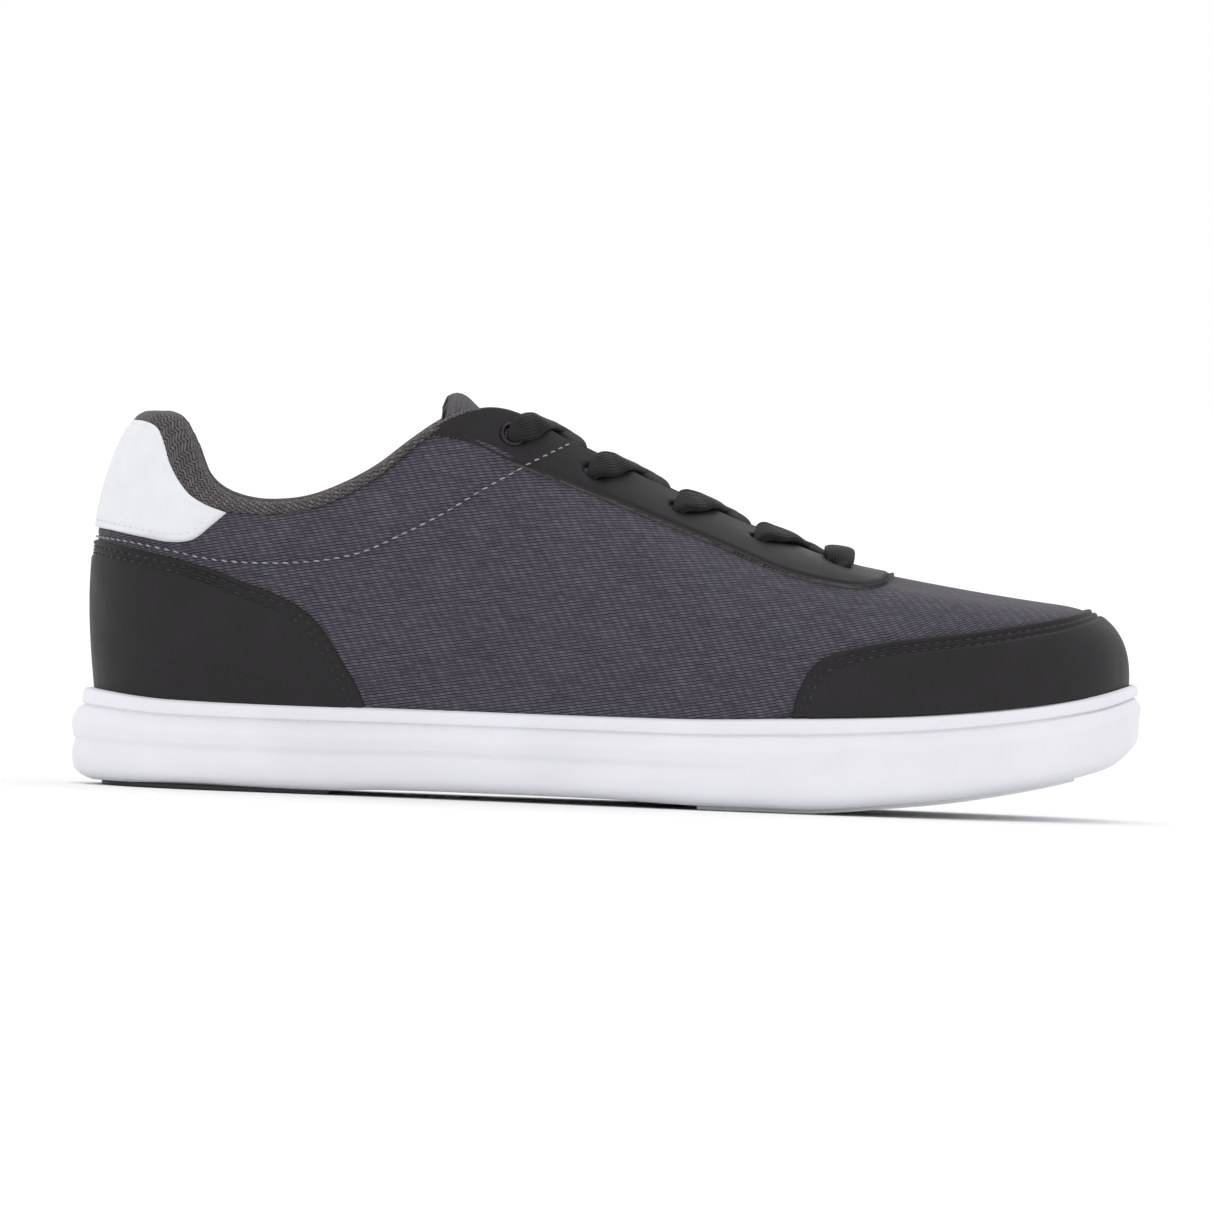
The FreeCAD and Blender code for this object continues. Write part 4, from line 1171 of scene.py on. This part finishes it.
# How deep the tongue's face lies under the upper's outer line and its lining under its face, the
# stations it reaches over, and the station from which its end stands free.
TONGUE_DEPTH = 8.5
TONGUE_THICK = 6.1
TONGUE_SKIN = 0.9
TONGUE_REACH = (2.6, 7.8)
TONGUE_FREE = 7.3


def tongue_line(station, depth):
    """The tongue's section from the outer edge over the crown to the inner one."""
    rises = (0.74, 0.84, 0.93, 1.0)
    outer = [raised(station, rise, -depth) for rise in rises]
    inner = [raised(STATIONS - station, rise, -depth) for rise in reversed(rises)]
    crown = (outer[-1] + inner[0]) / 2 + (0, 0, 1.0)
    return along_curve(outer + [crown] + inner, 61)


def tongue_rows(depth, puff):
    """The tongue from the throat's front to its free end, which stands up above the eyestay."""
    rows = []
    across = np.linspace(-1, 1, 61)
    for share in np.linspace(0, 1, 120):
        station = shares_between(*TONGUE_REACH, share)
        row = tongue_line(station, depth)
        free = ease(station, TONGUE_FREE, TONGUE_REACH[1])
        row[:, 2] += 9.5 * free * (1 - across ** 2) + puff * (1 - across ** 6)
        row[:, 0] += 3.0 * free * (1 - across ** 2)
        rows.append(row)
    return rows


def make_tongue():
    face = shell_of(tongue_rows(TONGUE_DEPTH, 0.4), TONGUE_SKIN, TONGUE_CLOTH, "tongue_face_padded")
    finish_piece(face, "tongue", "textile", "tongue_outer")
    back = shell_of(tongue_rows(TONGUE_DEPTH + TONGUE_THICK, 0.0), TONGUE_SKIN, LINING_KNIT,
                    "tongue_back_lining")
    finish_piece(back, "tongue", "lining_knit", "tongue_lining")
    filling = shell_of(tongue_rows(TONGUE_DEPTH + 0.6, 0.3), 5.0, TONGUE_CLOTH, "tongue_padding_bound",
                       tongue_rows(TONGUE_DEPTH + 6.5, 0.0))
    finish_piece(filling, "tongue", "padding_foam", "tongue_foam")


# ---- lace and eyelets ---------------------------------------------------------------------------

def ribbon(points, ups, widths, thicks, count=110, sides=22):
    """A flat braided cord along a curve, with its own width, thickness and facing at each point."""
    points = np.array(points, float)
    path = along_curve(points, count)
    reach = way_along(points)
    reach /= reach[-1]
    run = way_along(path)
    share = run / run[-1]
    up = np.stack([smooth(list(zip(reach, column)), share) for column in np.array(ups, float).T], -1)
    width = smooth(list(zip(reach, widths)), share)
    thick = smooth(list(zip(reach, thicks)), share)
    along = unit(np.gradient(path, axis=0))
    up = unit(up - along * np.sum(up * along, axis=1, keepdims=True))
    across = np.cross(along, up)
    angles = 2 * math.pi * np.arange(sides) / sides
    flat = np.sign(np.cos(angles)) * np.abs(np.cos(angles)) ** 0.75
    tall = np.sign(np.sin(angles)) * np.abs(np.sin(angles)) ** 0.75
    ring = (across[:, None] * (flat[None] * width[:, None] / 2)[..., None]
            + up[:, None] * (tall[None] * thick[:, None] / 2)[..., None])
    grid = path[:, None] + ring
    faces = ring_faces(count, sides)
    faces.append(tuple(reversed(range(sides))))
    faces.append(tuple((count - 1) * sides + k for k in range(sides)))
    uv = np.stack([np.broadcast_to(run[:, None], (count, sides)),
                   np.broadcast_to((flat * 3.5)[None], (count, sides))], -1)
    return grid.reshape(-1, 3), faces, uv.reshape(-1, 2)


def top_edge(x, side):
    """The throat's edge at a place along the shoe."""
    stations = np.linspace(0.2, 9, 400)
    if side > 0:
        stations = STATIONS - stations
    edge = wall(stations, 1.0)
    return edge[np.argmin(np.abs(edge[:, 0] - x))]


def lace_strand(index, side):
    """One crossing: out of the gap beside the far hole ahead, over the tongue and into a hole.

    Wide and rounded where it dips into the hole, it narrows and twists as it goes over the ridge."""
    at = hole_station(index, side)
    hole, normal = wall(at, HOLE_RISE), wall_normal(at, HOLE_RISE)
    ahead = wall(hole_station(index + 1, -side), HOLE_RISE)
    near = top_edge(hole[0] + 7.5, side)
    far = top_edge(ahead[0] - 4.0, -side)
    up = np.array([0, 0, 1.0])
    cross = np.array([0, side, 0.0])
    tangent = near - hole
    forward = np.array([1.0, 0, -0.35])
    mean = (near + far) / 2
    points = [
        hole - normal * 3.5 + forward * 0.3,
        hole + normal * 1.0 + forward * 0.2,
        hole + normal * 2.7 + tangent * 0.26,
        hole + normal * 2.7 + tangent * 0.62,
        near + normal * 2.2 + up * 0.3,
        near * 0.66 + far * 0.34 + up * 1.6,
        mean * 0.7 + far * 0.3 + up * 1.5,
        far + cross * 4.5 + up * 0.4,
        far + cross * 1.5 - up * 4.5,
    ]
    ups = [normal * 0.3 - forward, normal * 0.9 - forward * 0.5, normal, normal, normal * 0.8 + up * 0.4,
           up + cross * 0.2, up, up * 0.9 + forward * 0.3, forward + cross * 0.5]
    widths = (4.2, 5.4, 7.4, 7.8, 6.6, 5.6, 5.2, 5.2, 5.0)
    thicks = (3.0, 3.4, 3.2, 2.7, 2.4, 2.2, 2.1, 2.1, 2.0)
    return ribbon(points, ups, widths, thicks)


def lace_bar():
    """The straight bar over the lowest pair of holes."""
    index = len(HOLE_PLACES) - 1
    ends = []
    for side in SIDES:
        at = hole_station(index, side)
        ends.append((wall(at, HOLE_RISE), wall_normal(at, HOLE_RISE)))
    (outer, outer_up), (inner, inner_up) = ends
    up = np.array([0, 0, 1.0])
    middle = (outer + inner) / 2
    peak = top_edge(outer[0], -1)[2]
    points = [outer - outer_up * 3.5, outer + outer_up * 1.2, outer * 0.85 + inner * 0.15 + up * 4.2,
              np.array([middle[0], middle[1], peak + 3.0]), inner * 0.85 + outer * 0.15 + up * 4.2,
              inner + inner_up * 1.2, inner - inner_up * 3.5]
    ups = [(-1, -0.3, 0.2), outer_up + (-0.3, 0, 0), outer_up * 0.6 + up, up, inner_up * 0.6 + up,
           inner_up + (-0.3, 0, 0), (-1, 0.3, 0.2)]
    widths = (4.6, 7.0, 8.6, 8.2, 8.6, 7.0, 4.6)
    thicks = (2.8, 3.4, 3.0, 2.4, 3.0, 3.4, 2.8)
    return ribbon(points, ups, widths, thicks)


def make_lace():
    parts = [lace_bar()]
    for index in range(len(HOLE_PLACES) - 1):
        for side in SIDES:
            parts.append(lace_strand(index, side))
    points, faces, uvs = [], [], []
    for part_points, part_faces, part_uv in parts:
        start = sum(len(p) for p in points)
        faces += [tuple(i + start for i in face) for face in part_faces]
        points.append(part_points)
        uvs.append(part_uv)
    piece = make_object("lace_braid", np.concatenate(points), faces, LACE_CORD, np.concatenate(uvs))
    finish_piece(piece, "shoe", "lace_cord", "lace", "aglet_outer_side", "aglet_inner_side")


def make_eyelet(name, side, node):
    """A rolled metal ring in the top lace hole."""
    at = hole_station(0, side)
    centre, normal = wall(at, HOLE_RISE), wall_normal(at, HOLE_RISE)
    first = unit(np.cross(normal, (0, 0, 1.0)))
    second = np.cross(normal, first)
    section = [(2.35, -2.0), (2.3, 0.4), (2.35, 1.0), (2.6, 1.45), (3.0, 1.62), (3.4, 1.5), (3.68, 1.2),
               (3.72, 0.95), (3.55, 0.9), (2.75, 0.85), (2.7, -2.0)]
    count, points = 64, []
    for i in range(count):
        angle = 2 * math.pi * i / count
        spoke = first * math.cos(angle) + second * math.sin(angle)
        points += [centre + spoke * radius + normal * height for radius, height in section]
    width = len(section)
    faces = []
    for i in range(count):
        j = (i + 1) % count
        for k in range(width):
            n = (k + 1) % width
            faces.append((i * width + k, j * width + k, j * width + n, i * width + n))
    piece = make_object(name, points, faces, BLACK_NICKEL)
    finish_piece(piece, "shoe", "eyelet_metal", node)


# ---- floor, light and camera --------------------------------------------------------------------

CAMERA_ROLL = math.radians(2.2)
CAMERA_RISE = math.radians(1.0)
CAMERA_DISTANCE = 10.0
FRAME_WIDTH = 0.3408
FRAME_CENTRE = (-0.41, -50.0, 55.9)
SENSOR = 36
FLOOR_REACH = 14.0
FLOOR_GAP = 0.0002
LIT_PLACE = Vector((0, 0, 0.05))


def make_stage():
    """A plain pale floor, wide enough to meet the white surroundings far away. From 250 mm to 1500 mm out
    from its middle it glows more and more: painted light that washes the far floor to white.
    """
    s = Shading("stage_paper_painted_glow")
    away = s.add("VectorMath", i0=s.place())
    away.operation = "LENGTH"
    s.finish(s.mix(s.noise(s.place(), 60, 2), (0.93, 0.93, 0.935, 1), (0.95, 0.95, 0.955, 1)), 0.9,
             Emission_Color=(1, 1, 1, 1))
    # Painted light: the floor's glow, none near the shoe and rising to 0.14 far away.
    s.put(s.shader, "Emission Strength", s.span(away.outputs["Value"], 250, 1500, 0.0, 0.14))
    corners = [(x * FLOOR_REACH, y * FLOOR_REACH, 0) for x, y in ((-1, -1), (1, -1), (1, 1), (-1, 1))]
    mesh = bpy.data.meshes.new("stage_floor")
    mesh.from_pydata(corners, [], [(0, 1, 2, 3)])
    mesh.materials.append(s.material)
    floor = bpy.data.objects.new("stage_floor", mesh)
    floor.location.z = cad_low[2] - FLOOR_GAP
    bpy.context.scene.collection.objects.link(floor)
    floor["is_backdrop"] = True


def make_lights():
    """Four large soft lamps aimed at the shoe, and a white world."""
    for name, place, size, power in (
            ("key_soft", (0.1, 0.35, 1.5), (1.6, 1.0), 4.0),
            ("front_soft", (-0.3, -1.9, 0.5), (1.8, 1.0), 2.0),
            ("toe_soft", (1.5, -0.4, 0.6), (0.8, 1.0), 0.4),
            ("heel_soft", (-1.5, -0.4, 0.6), (0.8, 1.0), 0.6)):
        data = bpy.data.lights.new(name, "AREA")
        data.shape = "RECTANGLE"
        data.size, data.size_y = size
        data.energy = power
        light = bpy.data.objects.new(name, data)
        light.location = place
        light.rotation_euler = (LIT_PLACE - light.location).to_track_quat("-Z", "Y").to_euler()
        light.visible_camera = False
        bpy.context.scene.collection.objects.link(light)
    world = bpy.data.worlds.new("studio")
    world.use_nodes = True
    world.node_tree.nodes["Background"].inputs[0].default_value = (1, 1, 1, 1)
    world.node_tree.nodes["Background"].inputs[1].default_value = 1.0
    bpy.context.scene.world = world
    bpy.context.scene.view_settings.view_transform = "Standard"


def make_camera():
    """A long lens from the outer side, framed, raised and rolled as the photo is."""
    data = bpy.data.cameras.new("studio_camera")
    data.sensor_width = SENSOR
    data.lens = SENSOR * CAMERA_DISTANCE / FRAME_WIDTH
    data.clip_end = 20
    camera = bpy.data.objects.new("studio_camera", data)
    bpy.context.scene.collection.objects.link(camera)
    target = Vector(v * UNIT for v in FRAME_CENTRE)
    back = Vector((0, -math.cos(CAMERA_RISE), math.sin(CAMERA_RISE)))
    right = Vector((math.cos(CAMERA_ROLL), 0, math.sin(CAMERA_ROLL)))
    right = (right - back * right.dot(back)).normalized()
    up = back.cross(right)
    turn = Matrix((right, up, back)).transposed().to_4x4()
    camera.matrix_world = Matrix.Translation(target + back * CAMERA_DISTANCE) @ turn
    bpy.context.scene.camera = camera


make_camera()
make_stage()
make_lights()
make_cupsole()
make_textile()
make_toe_cap()
make_heel_overlay()
make_heel_tab()
make_eyestay()
make_collar_seam()
make_collar_lining()
make_footbed()
make_tongue()
make_lace()
make_eyelet("eyelet_ring_outer_side", -1, "eyelet_outer_side")
make_eyelet("eyelet_ring_inner_side", 1, "eyelet_inner_side")
